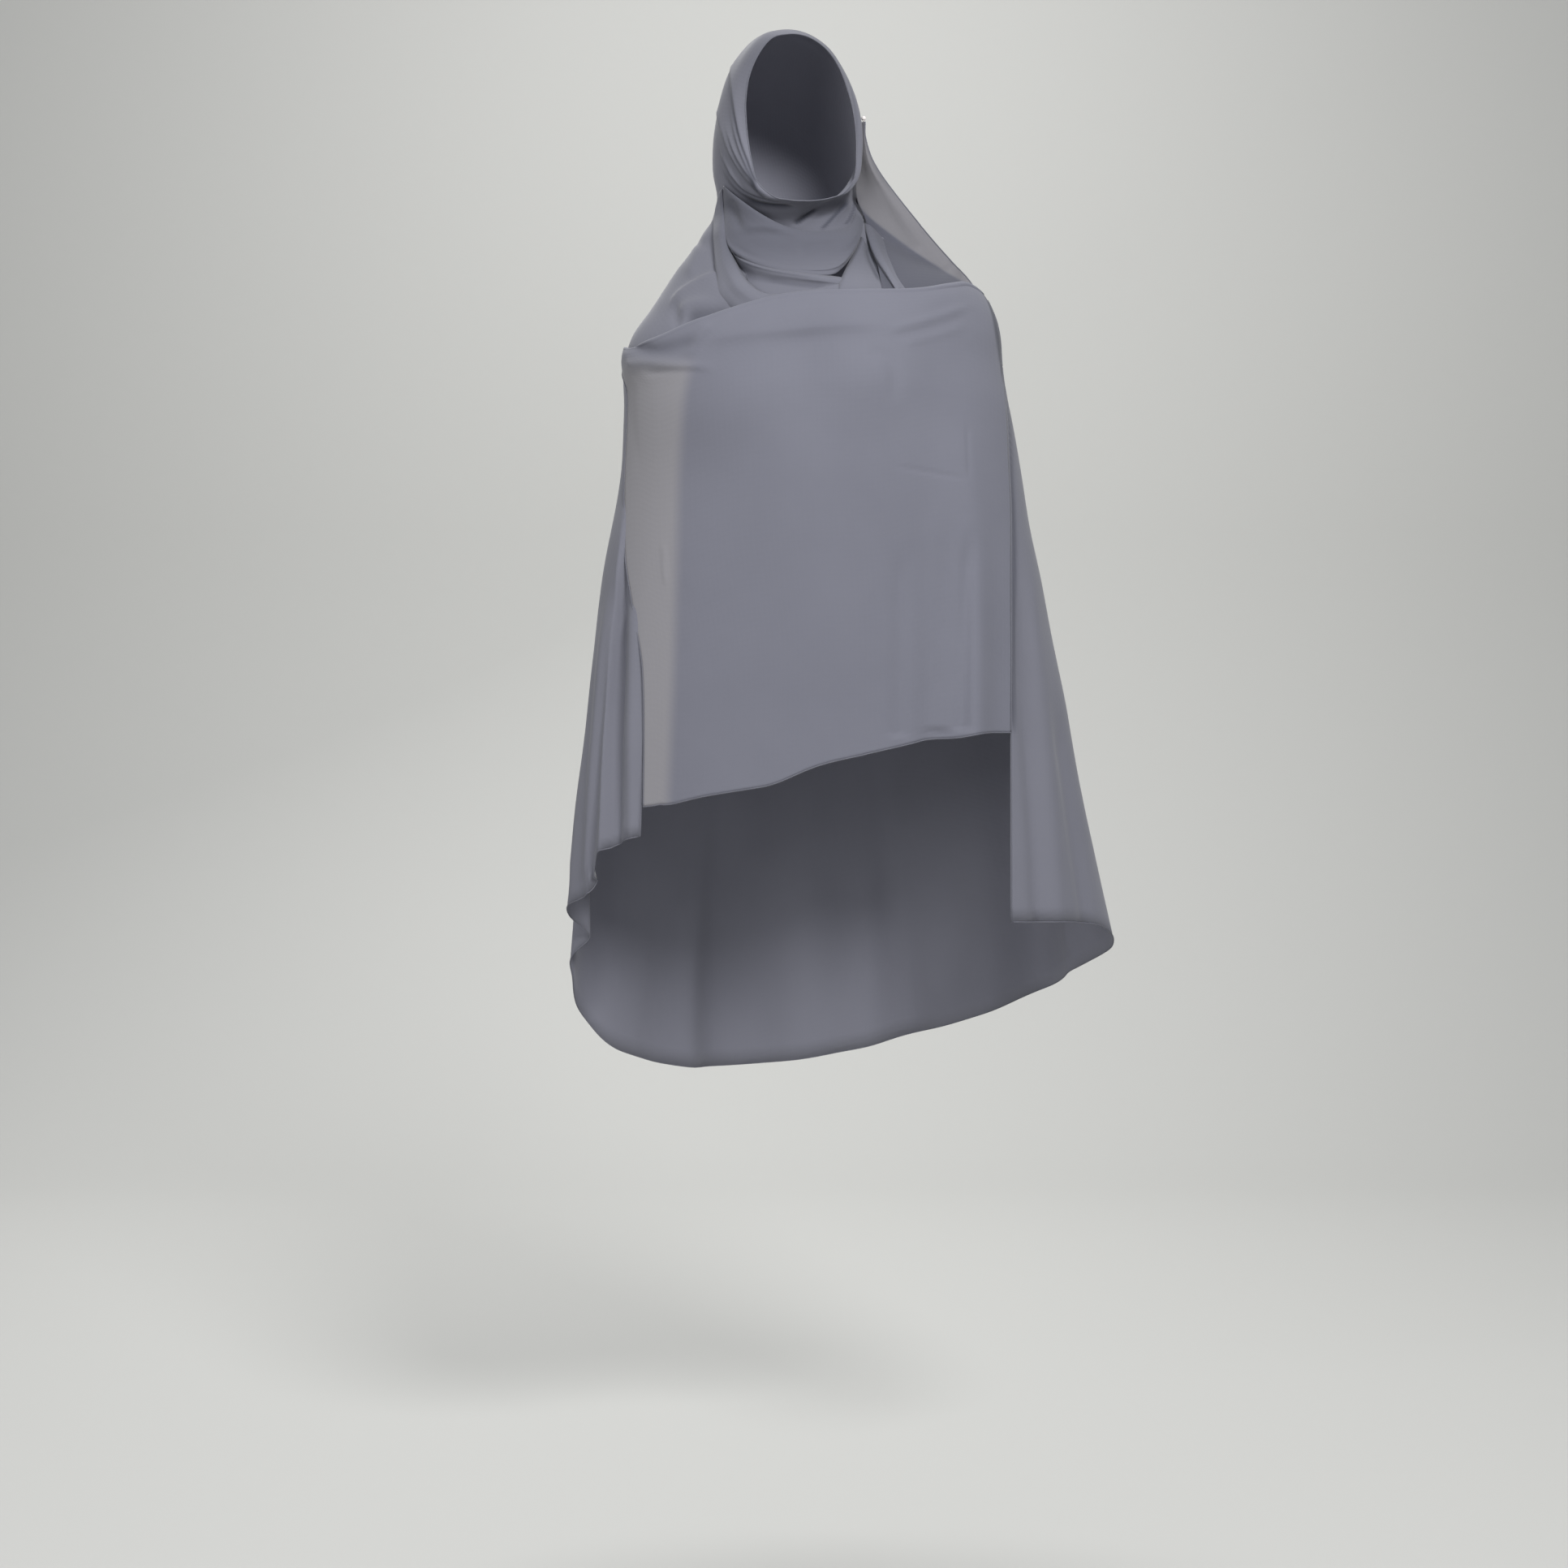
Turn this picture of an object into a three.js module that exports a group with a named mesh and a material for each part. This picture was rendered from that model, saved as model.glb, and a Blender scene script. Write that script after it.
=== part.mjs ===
import * as THREE from 'three';

// A chiffon hijab as it is worn, in millimetres.
// The wearer faces -Y, +X is the viewer's right, +Z is up.
// The origin is inside the crown of the hood, where it sits on the head.

// Cloth and fit
const clothWall = 1.2;
const seatGap = 0.4;
const wallAndGap = clothWall + seatGap;

// Head
const headWidth = 178;
const headDepth = 193;
const headDrop = 262;
const chinReach = 85;
const headShift = -14;
const headYaw = 12;
const rimReach = 26;
const yawFade = { from: 35, to: 90 };
const shiftFade = { from: 50, to: 90 };

// Body of the wrap
const wrapLength = 1300;
const hemWidth = 677;
const bodyDepth = 298;
const panelLength = 610;
const panelLift = 3.5;
const rollRadius = 6;
const hoodEnd = headDrop / wrapLength;
const hemAngles = { from: 40, to: 316 };
const rowCrowding = { drape: 1.25, panel: 1.15 };
const panelSettle = 0.15;
const rollFade = 0.5;
const leastRoll = 0.12;

// Neck swags
const neckWidth = 186;
const upperSwagHeight = 54;
const lowerSwagHeight = 44;
const swagDepth = 11;
const neckBack = 20;
const swagTurn = { from: 125, sweep: 235 };

// Pin
const pinHeadRadius = 2.8;
const pinShaftRadius = 0.5;
const pinLength = 26;
const pinTip = 1.5;
const pinAround = 95;
const pinTilt = 9;
const pinLift = pinHeadRadius + 3 * seatGap;

// Sheet that falls from the pin
const fallLift = clothWall + 3 * seatGap;
const fallTopSpread = 5.6;
const fallTopForward = 5.7;
const fallTopSlant = 4.9;
const fallFoot = { around: 56, drop: 0.178 };
const fallShoulder = { around: 76, drop: 0.248 };
const fallRest = 0.6;
const fallFootLift = 9;
const fallBow = 8;
const fallBowEase = 0.6;
const fallSag = 26;

// Hood rings turn about a line under the chin, from the upright face edge to the level neck.
// near and reach are shares of headDrop, half of headWidth, bow of headDepth.
const hoodRows = [
  { tilt: 0, near: 0.126, reach: 0.878, half: 0.372, shift: 0.0, bow: 0.16 },
  { tilt: 5, near: 0.124, reach: 0.928, half: 0.428, shift: 0.0, bow: 0.15 },
  { tilt: 12, near: 0.121, reach: 0.992, half: 0.46, shift: 0.0, bow: 0.13 },
  { tilt: 21, near: 0.118, reach: 1.078, half: 0.483, shift: 0.0, bow: 0.09 },
  { tilt: 31, near: 0.117, reach: 1.078, half: 0.49, shift: 0.0, bow: 0.05 },
  { tilt: 41, near: 0.118, reach: 1.045, half: 0.5, shift: 0.0, bow: 0.02 },
  { tilt: 51, near: 0.12, reach: 0.962, half: 0.502, shift: 0.0, bow: 0.0 },
  { tilt: 61, near: 0.12, reach: 0.84, half: 0.506, shift: 0.01, bow: 0.0 },
  { tilt: 71, near: 0.118, reach: 0.766, half: 0.562, shift: -0.002, bow: 0.0 },
  { tilt: 81, near: 0.114, reach: 0.73, half: 0.66, shift: -0.01, bow: 0.0 },
  { tilt: 90, near: 0.107, reach: 0.721, half: 0.728, shift: 0.009, bow: 0.0 },
];

// How the face edge is drawn out from its oval, by angle from the chin towards the right:
// right is a share of headWidth, up of headDrop.
const rimRows = [
  { around: 0, right: 0, up: 0 },
  { around: 15, right: 0.002, up: -0.006 },
  { around: 30, right: 0.014, up: -0.024 },
  { around: 45, right: 0.042, up: -0.047 },
  { around: 60, right: 0.063, up: -0.044 },
  { around: 75, right: 0.048, up: -0.019 },
  { around: 90, right: 0.033, up: -0.003 },
  { around: 105, right: 0.015, up: 0.003 },
  { around: 120, right: 0.001, up: 0.001 },
  { around: 150, right: -0.004, up: -0.008 },
  { around: 165, right: -0.003, up: -0.01 },
  { around: 180, right: 0, up: -0.002 },
  { around: 195, right: -0.003, up: 0.015 },
  { around: 210, right: -0.019, up: 0.037 },
  { around: 225, right: -0.026, up: 0.028 },
  { around: 240, right: -0.021, up: 0.012 },
  { around: 255, right: -0.001, up: 0 },
  { around: 270, right: 0.018, up: 0 },
  { around: 285, right: 0.019, up: 0.005 },
  { around: 300, right: 0.001, up: 0 },
  { around: 315, right: -0.024, up: -0.023 },
  { around: 330, right: -0.014, up: -0.024 },
  { around: 345, right: -0.002, up: -0.009 },
  { around: 360, right: 0, up: 0 },
];

// Level sections of the drape: drop is a share of wrapLength, left and right of hemWidth,
// front and back of bodyDepth.
const drapeRows = [
  { drop: 0.152, left: 0.143, right: 0.119, front: 0.18, back: 0.349 },
  { drop: 0.177, left: 0.16, right: 0.142, front: 0.186, back: 0.349 },
  { drop: 0.2015, left: 0.189, right: 0.194, front: 0.191, back: 0.349 },
  { drop: 0.223, left: 0.223, right: 0.265, front: 0.235, back: 0.37 },
  { drop: 0.243, left: 0.248, right: 0.32, front: 0.3, back: 0.39 },
  { drop: 0.265, left: 0.274, right: 0.348, front: 0.37, back: 0.41 },
  { drop: 0.29, left: 0.304, right: 0.362, front: 0.425, back: 0.43 },
  { drop: 0.32, left: 0.318, right: 0.367, front: 0.46, back: 0.445 },
  { drop: 0.36, left: 0.317, right: 0.382, front: 0.51, back: 0.46 },
  { drop: 0.42, left: 0.322, right: 0.402, front: 0.53, back: 0.48 },
  { drop: 0.5, left: 0.344, right: 0.429, front: 0.52, back: 0.5 },
  { drop: 0.62, left: 0.379, right: 0.478, front: 0.505, back: 0.56 },
  { drop: 0.74, left: 0.408, right: 0.521, front: 0.49, back: 0.62 },
  { drop: 0.86, left: 0.432, right: 0.571, front: 0.47, back: 0.68 },
  { drop: 1, left: 0.45, right: 0.61, front: 0.46, back: 0.73 },
];

// Lower edge of the drape by angle, 0 in front, 90 at the right, 180 behind, 270 at the left.
const hemRows = [
  { around: 40, drop: 0.838 },
  { around: 68, drop: 0.842 },
  { around: 82, drop: 0.851 },
  { around: 95, drop: 0.866 },
  { around: 120, drop: 0.896 },
  { around: 140, drop: 0.927 },
  { around: 160, drop: 0.958 },
  { around: 182, drop: 0.985 },
  { around: 210, drop: 1 },
  { around: 235, drop: 0.978 },
  { around: 250, drop: 0.936 },
  { around: 262, drop: 0.897 },
  { around: 272, drop: 0.862 },
  { around: 282, drop: 0.831 },
  { around: 296, drop: 0.812 },
  { around: 303, drop: 0.778 },
  { around: 315, drop: 0.761 },
  { around: 330, drop: 0.757 },
];

// Where the drape's two front edges lie, as shares of hemWidth, by depth down the wrap.
const edgeRows = [
  { drop: 0.2015, right: 0.127, left: 0.11 },
  { drop: 0.235, right: 0.15, left: 0.125 },
  { drop: 0.256, right: 0.17, left: 0.137 },
  { drop: 0.276, right: 0.19, left: 0.15 },
  { drop: 0.32, right: 0.25, left: 0.17 },
  { drop: 0.4, right: 0.345, left: 0.19 },
  { drop: 0.48, right: 0.366, left: 0.215 },
  { drop: 0.62, right: 0.369, left: 0.235 },
  { drop: 1, right: 0.369, left: 0.24 },
];

// Long folds of the drape: depth is a share of bodyDepth, outwards, reached at the hem.
const drapeFolds = [
  { around: 88, spread: 12, depth: 0.02, start: 0.55 },
  { around: 112, spread: 9, depth: -0.04, start: 0.6 },
  { around: 131, spread: 9, depth: 0.035, start: 0.5 },
  { around: 150, spread: 9, depth: -0.045, start: 0.45 },
  { around: 168, spread: 9, depth: 0.045, start: 0.4 },
  { around: 187, spread: 9, depth: -0.05, start: 0.35 },
  { around: 206, spread: 9, depth: 0.05, start: 0.35 },
  { around: 226, spread: 9, depth: -0.045, start: 0.4 },
  { around: 245, spread: 8, depth: 0.035, start: 0.45 },
  { around: 263, spread: 7, depth: -0.075, start: 0.62 },
  { around: 279, spread: 7, depth: 0.02, start: 0.6 },
  { around: 297, spread: 5, depth: -0.035, start: 0.42 },
  { around: 308, spread: 5, depth: 0.02, start: 0.42 },
];

// The rolled top of the chest panel by angle from the front: drop is a share of wrapLength.
const panelTopRows = [
  { around: -88, drop: 0.3, roll: 0.1 },
  { around: -70, drop: 0.3045, roll: 0.3 },
  { around: -52, drop: 0.3015, roll: 0.55 },
  { around: -35, drop: 0.289, roll: 0.8 },
  { around: -12, drop: 0.2695, roll: 1 },
  { around: 10, drop: 0.2635, roll: 1 },
  { around: 32, drop: 0.259, roll: 0.9 },
  { around: 48, drop: 0.25, roll: 0.6 },
  { around: 62, drop: 0.2435, roll: 0.3 },
  { around: 78, drop: 0.247, roll: 0.1 },
];

// Side edges of the chest panel, as shares of hemWidth, by share of the panel's length.
const panelEdgeRows = [
  { down: 0, left: 0.302, right: 0.313 },
  { down: 0.1, left: 0.307, right: 0.345 },
  { down: 0.25, left: 0.306, right: 0.356 },
  { down: 0.5, left: 0.306, right: 0.367 },
  { down: 0.62, left: 0.29, right: 0.368 },
  { down: 0.75, left: 0.272, right: 0.368 },
  { down: 1, left: 0.273, right: 0.367 },
];

// Length of the chest panel from its rolled top to its hem, as a share of panelLength.
const panelHemRows = [
  { across: 0, length: 0.944 },
  { across: 0.22, length: 0.927 },
  { across: 0.38, length: 0.92 },
  { across: 0.58, length: 0.893 },
  { across: 0.75, length: 0.879 },
  { across: 0.87, length: 0.894 },
  { across: 1, length: 0.882 },
];

// Soft forms of the chest panel: across and down as shares, depth of bodyDepth.
const panelForms = [
  { across: 0.27, down: 0.21, wide: 0.13, tall: 0.12, depth: 0.035 },
  { across: 0.65, down: 0.2, wide: 0.13, tall: 0.12, depth: 0.04 },
  { across: 0.46, down: 0.2, wide: 0.07, tall: 0.14, depth: -0.02 },
  { across: 0.89, down: 1, wide: 0.05, tall: 0.42, depth: 0.045 },
  { across: 0.79, down: 1, wide: 0.05, tall: 0.42, depth: -0.025 },
  { across: 0.4, down: 1, wide: 0.16, tall: 0.4, depth: 0.02 },
];

// Middle line of each swag, from the left of the neck to the right: across is a share of neckWidth,
// drop of headDrop, height of the swag's own height, depth and lift of swagDepth.
const upperSwagRows = [
  { across: -0.385, drop: 0.86, height: 0.85, depth: 0.7, lift: 1.15 },
  { across: -0.35, drop: 0.93, height: 0.95, depth: 0.9, lift: 1.4 },
  { across: -0.28, drop: 0.99, height: 0.95, depth: 1, lift: 1.8 },
  { across: -0.15, drop: 1.06, height: 0.98, depth: 1, lift: 1.9 },
  { across: 0, drop: 1.105, height: 1, depth: 1, lift: 1.8 },
  { across: 0.14, drop: 1.12, height: 1, depth: 1, lift: 1.8 },
  { across: 0.27, drop: 1.09, height: 1, depth: 1, lift: 1.8 },
  { across: 0.345, drop: 1.02, height: 0.95, depth: 0.9, lift: 1.7 },
  { across: 0.37, drop: 0.94, height: 0.8, depth: 0.7, lift: 1.7 },
];
const lowerSwagRows = [
  { across: -0.505, drop: 0.8, height: 0.4, depth: 0.35, lift: 0.65 },
  { across: -0.515, drop: 0.88, height: 0.42, depth: 0.35, lift: 1 },
  { across: -0.5, drop: 0.97, height: 0.45, depth: 0.4, lift: 1.2 },
  { across: -0.47, drop: 1.06, height: 0.5, depth: 0.5, lift: 1.5 },
  { across: -0.42, drop: 1.17, height: 0.6, depth: 0.6, lift: 1.5 },
  { across: -0.34, drop: 1.27, height: 0.8, depth: 0.75, lift: 0.8 },
  { across: -0.17, drop: 1.32, height: 1, depth: 0.85, lift: -0.4 },
  { across: 0.03, drop: 1.335, height: 1, depth: 0.85, lift: -0.7 },
  { across: 0.24, drop: 1.31, height: 0.9, depth: 0.85, lift: -0.2 },
  { across: 0.4, drop: 1.23, height: 0.7, depth: 0.7, lift: 0.6 },
  { across: 0.485, drop: 1.11, height: 0.5, depth: 0.5, lift: 1.5 },
  { across: 0.48, drop: 1, height: 0.42, depth: 0.4, lift: 1.4 },
  { across: 0.45, drop: 0.91, height: 0.4, depth: 0.35, lift: 1.1 },
];

// Finishes
const chiffon = { color: 0x80828e, roughness: 0.85, metalness: 0 };
const sheerChiffon = { color: 0x96949a, roughness: 0.85, metalness: 0 };
const pearl = { color: 0xe6e2dc, roughness: 0.25, metalness: 0 };

const radians = THREE.MathUtils.degToRad;
const smooth = THREE.MathUtils.smoothstep;

// The value of one column of a table at a place between its rows, on a smooth curve.
function valueAt(rows, key, column, at) {
  const last = rows.length - 1;
  let row = 0;
  while (row < last - 1 && at > rows[row + 1][key]) {
    row += 1;
  }
  const span = rows[row + 1][key] - rows[row][key];
  const part = THREE.MathUtils.clamp((at - rows[row][key]) / span, 0, 1);
  const slope = (index) => {
    const before = Math.max(index - 1, 0);
    const after = Math.min(index + 1, last);
    return (rows[after][column] - rows[before][column]) / (rows[after][key] - rows[before][key]);
  };
  const square = part * part;
  const cube = square * part;
  return (
    (2 * cube - 3 * square + 1) * rows[row][column] +
    (cube - 2 * square + part) * span * slope(row) +
    (3 * square - 2 * cube) * rows[row + 1][column] +
    (cube - square) * span * slope(row + 1)
  );
}

// A closed shell of one wall from a grid of outer points; the wall goes to the inside of the grid.
// ringed joins the last column to the first; levelTop and levelEnd keep those rims flat.
function clothShell(name, columns, rows, place, finish, options = {}) {
  const { ringed = false, levelTop = false, levelEnd = false } = options;
  const across = ringed ? columns : columns + 1;
  const outer = [];
  for (let row = 0; row <= rows; row += 1) {
    for (let column = 0; column < across; column += 1) {
      outer.push(place(column / columns, row / rows));
    }
  }
  const index = (column, row) => row * across + (ringed ? (column + across) % across : column);
  const faces = [];
  const strips = ringed ? across : across - 1;
  for (let row = 0; row < rows; row += 1) {
    for (let column = 0; column < strips; column += 1) {
      const a = index(column, row);
      const b = index(column + 1, row);
      const c = index(column + 1, row + 1);
      const d = index(column, row + 1);
      faces.push([a, d, c], [a, c, b]);
    }
  }
  const normals = outer.map(() => new THREE.Vector3());
  for (const [a, b, c] of faces) {
    const side = outer[b].clone().sub(outer[a]);
    const normal = side.cross(outer[c].clone().sub(outer[a]));
    for (const corner of [a, b, c]) {
      normals[corner].add(normal);
    }
  }
  const inner = outer.map((point, corner) => {
    const row = Math.floor(corner / across);
    const normal = normals[corner];
    if ((levelTop && row === 0) || (levelEnd && row === rows)) {
      normal.z = 0;
    }
    return point.clone().addScaledVector(normal.normalize(), -clothWall);
  });
  const count = outer.length;
  const corners = [];
  for (const [a, b, c] of faces) {
    corners.push(a, b, c, a + count, c + count, b + count);
  }
  const rim = (a, b) => corners.push(a, b, b + count, a, b + count, a + count);
  for (let column = 0; column < strips; column += 1) {
    rim(index(column, 0), index(column + 1, 0));
    rim(index(column + 1, rows), index(column, rows));
  }
  if (!ringed) {
    for (let row = 0; row < rows; row += 1) {
      rim(index(0, row + 1), index(0, row));
      rim(index(columns, row), index(columns, row + 1));
    }
  }
  const geometry = new THREE.BufferGeometry();
  const flat = [...outer, ...inner].flatMap((point) => [point.x, point.y, point.z]);
  geometry.setAttribute('position', new THREE.Float32BufferAttribute(flat, 3));
  geometry.setIndex(corners);
  geometry.computeVertexNormals();
  const mesh = new THREE.Mesh(geometry, new THREE.MeshStandardMaterial(finish));
  mesh.name = name;
  return mesh;
}

// Hood: a point by angle round the ring, 0 at the throat and 180 behind, and by tilt of the ring.
function hoodPoint(around, tilt) {
  const at = (column) => valueAt(hoodRows, 'tilt', column, tilt);
  const near = at('near') * headDrop;
  const reach = at('reach') * headDrop;
  const middle = (near + reach) / 2;
  const lengthwise = Math.cos(radians(around));
  const sideways = Math.sin(radians(around));
  const out = middle - ((reach - near) / 2) * lengthwise;
  const bow = at('bow') * headDepth * sideways * sideways;
  const x = (at('half') * sideways + at('shift')) * headWidth;
  const y = out * Math.sin(radians(tilt)) - chinReach + bow;
  const z = out * Math.cos(radians(tilt)) - headDrop;
  const turn = radians(headYaw) * (1 - smooth(tilt, yawFade.from, yawFade.to));
  const point = new THREE.Vector3(x, y, z).applyAxisAngle(new THREE.Vector3(0, 0, 1), turn);
  const round = THREE.MathUtils.euclideanModulo(around, 360);
  const drawn = 1 - smooth(tilt, 0, rimReach);
  point.x += headShift * (1 - smooth(tilt, shiftFade.from, shiftFade.to));
  point.x += valueAt(rimRows, 'around', 'right', round) * headWidth * drawn;
  point.z += valueAt(rimRows, 'around', 'up', round) * headDrop * drawn;
  return point;
}

function makeHood() {
  const columns = 32;
  const rings = 14;
  const lastTilt = hoodRows[hoodRows.length - 1].tilt;
  const place = (u, v) => hoodPoint(-u * 360, v * lastTilt);
  return clothShell('hood', columns, rings, place, chiffon, { ringed: true, levelEnd: true });
}

// Drape section at one depth down the wrap.
function drapeSection(drop) {
  const at = (column) => valueAt(drapeRows, 'drop', column, drop);
  const left = at('left') * hemWidth;
  const right = at('right') * hemWidth;
  const front = at('front') * bodyDepth;
  const back = at('back') * bodyDepth;
  return {
    middleX: (right - left) / 2,
    halfX: (right + left) / 2,
    middleY: (back - front) / 2,
    halfY: (back + front) / 2,
    z: -drop * wrapLength,
  };
}

// A point of the drape by angle from the front and depth down the wrap, lifted outwards.
function drapePoint(around, drop, lift) {
  const section = drapeSection(drop);
  const sideways = Math.sin(radians(around));
  const forwards = Math.cos(radians(around));
  const outward = new THREE.Vector2(sideways * section.halfY, -forwards * section.halfX).normalize();
  const out = lift + foldLift(around < 0 ? around + 360 : around, drop);
  return new THREE.Vector3(
    section.middleX + section.halfX * sideways + outward.x * out,
    section.middleY - section.halfY * forwards + outward.y * out,
    section.z,
  );
}

function foldLift(around, drop) {
  let lift = 0;
  for (const fold of drapeFolds) {
    const away = (around - fold.around) / fold.spread;
    lift += fold.depth * bodyDepth * Math.exp(-away * away) * smooth(drop, fold.start, 1);
  }
  return lift;
}

function makeBackDrape() {
  const columns = 52;
  const rows = 15;
  const top = hoodEnd + seatGap / wrapLength;
  const place = (u, v) => {
    const hemAround = THREE.MathUtils.lerp(hemAngles.from, hemAngles.to, u);
    const hem = valueAt(hemRows, 'around', 'drop', hemAround);
    const drop = top + (hem - top) * v ** rowCrowding.drape;
    const right = aroundAt(valueAt(edgeRows, 'drop', 'right', drop) * hemWidth, drop);
    const left = aroundAt(-valueAt(edgeRows, 'drop', 'left', drop) * hemWidth, drop);
    const around = right + (360 + left - right) * u;
    return drapePoint(around, drop, 0);
  };
  return clothShell('back_drape', columns, rows, place, chiffon, { levelTop: true });
}

// Angle from the front at which a drape section reaches a place across the body.
function aroundAt(x, drop) {
  const section = drapeSection(drop);
  const share = THREE.MathUtils.clamp((x - section.middleX) / section.halfX, -1, 1);
  return THREE.MathUtils.radToDeg(Math.asin(share));
}

function makeChestPanel() {
  const columns = 24;
  const rollRows = 4;
  const rows = 20;
  const wholeLift = wallAndGap + swagDepth + rollRadius;
  const firstAround = panelTopRows[0].around;
  const lastAround = panelTopRows[panelTopRows.length - 1].around;
  const place = (u, v) => {
    const step = v * rows;
    const down = Math.max(step - rollRows, 0) / (rows - rollRows);
    const edge = (column) => valueAt(panelEdgeRows, 'down', column, down) * hemWidth;
    const x = -edge('left') + (edge('left') + edge('right')) * u;
    const topAround = THREE.MathUtils.lerp(firstAround, lastAround, u);
    const topDrop = valueAt(panelTopRows, 'around', 'drop', topAround);
    const roll = valueAt(panelTopRows, 'around', 'roll', topAround);
    const length = valueAt(panelHemRows, 'across', 'length', u) * panelLength;
    const drop = topDrop + (rollRadius + length * down ** rowCrowding.panel) / wrapLength;
    const settled = smooth(down, 0, panelSettle);
    const around = THREE.MathUtils.lerp(topAround, aroundAt(x, drop), settled);
    let lift = panelLift + (wholeLift - panelLift) * roll * (1 - smooth(down, 0, rollFade));
    for (const form of panelForms) {
      const beside = (u - form.across) / form.wide;
      const below = (down - form.down) / form.tall;
      lift += form.depth * bodyDepth * Math.exp(-beside * beside - below * below);
    }
    const sweep = Math.PI * Math.max(roll, leastRoll) * (1 - Math.min(step / rollRows, 1));
    const inward = rollRadius * (1 - Math.cos(sweep));
    const point = drapePoint(around, drop, lift - inward);
    point.z += rollRadius * Math.sin(sweep);
    return point;
  };
  return clothShell('chest_panel', columns, rows, place, chiffon);
}

// A swag: a rounded band carried along its middle line, open towards the neck.
function makeSwag(name, swagRows, swagHeight, columns) {
  const sectionRows = 8;
  const last = swagRows.length - 1;
  const keyed = swagRows.map((row, order) => ({ ...row, order }));
  const middle = (at) => {
    const order = THREE.MathUtils.clamp(at, 0, 1) * last;
    const x = valueAt(keyed, 'order', 'across', order) * neckWidth;
    const drop = valueAt(keyed, 'order', 'drop', order) * (headDrop / wrapLength);
    const lift = valueAt(keyed, 'order', 'lift', order) * swagDepth;
    return drapePoint(aroundAt(x, drop), drop, lift);
  };
  const place = (u, v) => {
    const step = 0.01;
    const centre = middle(u);
    const along = middle(u + step).sub(middle(u - step)).normalize();
    const outward = new THREE.Vector3(centre.x, centre.y - neckBack, 0).normalize();
    outward.addScaledVector(along, -outward.dot(along)).normalize();
    const upward = outward.clone().cross(along).normalize();
    if (upward.z < 0) {
      upward.negate();
    }
    const height = valueAt(keyed, 'order', 'height', u * last) * swagHeight;
    const depth = valueAt(keyed, 'order', 'depth', u * last) * swagDepth;
    const turn = radians(swagTurn.from - swagTurn.sweep * v);
    return centre
      .addScaledVector(outward, depth * Math.cos(turn))
      .addScaledVector(upward, (height / 2) * Math.sin(turn));
  };
  return clothShell(name, columns, sectionRows, place, chiffon);
}

// A place on the hood's outer face, lifted off it.
function hoodSeat(around, tilt, lift) {
  const step = 2;
  const seat = hoodPoint(around, tilt);
  const along = hoodPoint(around + step, tilt).sub(hoodPoint(around - step, tilt));
  const back = hoodPoint(around, tilt + step).sub(hoodPoint(around, tilt - step));
  return seat.addScaledVector(back.cross(along).normalize(), lift);
}

// Pin fall: a sheet of nearly straight lines from the pin down to the slope of the right
// shoulder. It bows out where it passes the side of the hood, and its outer edge sags.
function makePinFall() {
  const columns = 10;
  const rows = 10;
  const top = hoodSeat(pinAround, pinTilt, fallLift);
  top.z -= pinHeadRadius + seatGap;
  const place = (u, v) => {
    const around = THREE.MathUtils.lerp(fallFoot.around, fallShoulder.around, u);
    const drop = THREE.MathUtils.lerp(fallFoot.drop, fallShoulder.drop, u);
    const low = drapePoint(around, drop, fallRest + fallFootLift * (1 - u) ** 2);
    const point = top.clone();
    point.x += fallTopSpread * u;
    point.y += fallTopSlant * u - fallTopForward;
    point.lerp(low, v);
    point.x += fallBow * Math.sin(Math.PI * Math.sqrt(v)) * (1 - fallBowEase * u);
    point.z -= fallSag * Math.sin(Math.PI * v) * u;
    return point;
  };
  return clothShell('pin_fall', columns, rows, place, sheerChiffon);
}

function makePin() {
  const profile = [new THREE.Vector2(0, 0), new THREE.Vector2(pinShaftRadius, pinTip)];
  const neck = Math.sqrt(pinHeadRadius ** 2 - pinShaftRadius ** 2);
  const centre = pinLength + neck;
  const steps = 7;
  for (let step = 0; step <= steps; step += 1) {
    const from = Math.PI - Math.asin(pinShaftRadius / pinHeadRadius);
    const angle = from * (1 - step / steps);
    const radius = step === steps ? 0 : pinHeadRadius * Math.sin(angle);
    profile.push(new THREE.Vector2(radius, centre + pinHeadRadius * Math.cos(angle)));
  }
  const sides = 10;
  const geometry = new THREE.LatheGeometry(profile, sides);
  geometry.rotateX(Math.PI / 2);
  geometry.translate(0, 0, -centre);
  const mesh = new THREE.Mesh(geometry, new THREE.MeshStandardMaterial(pearl));
  mesh.name = 'pin';
  mesh.position.copy(hoodSeat(pinAround, pinTilt, pinLift));
  return mesh;
}

const hijab = new THREE.Group();
hijab.add(
  makeHood(),
  makeBackDrape(),
  makeChestPanel(),
  makeSwag('cowl_upper', upperSwagRows, upperSwagHeight, 24),
  makeSwag('cowl_lower', lowerSwagRows, lowerSwagHeight, 28),
  makePinFall(),
  makePin(),
);

export default hijab;
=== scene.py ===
import math
import bmesh
import bpy
import numpy as np
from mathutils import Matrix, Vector
from mathutils.bvhtree import BVHTree


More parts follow.
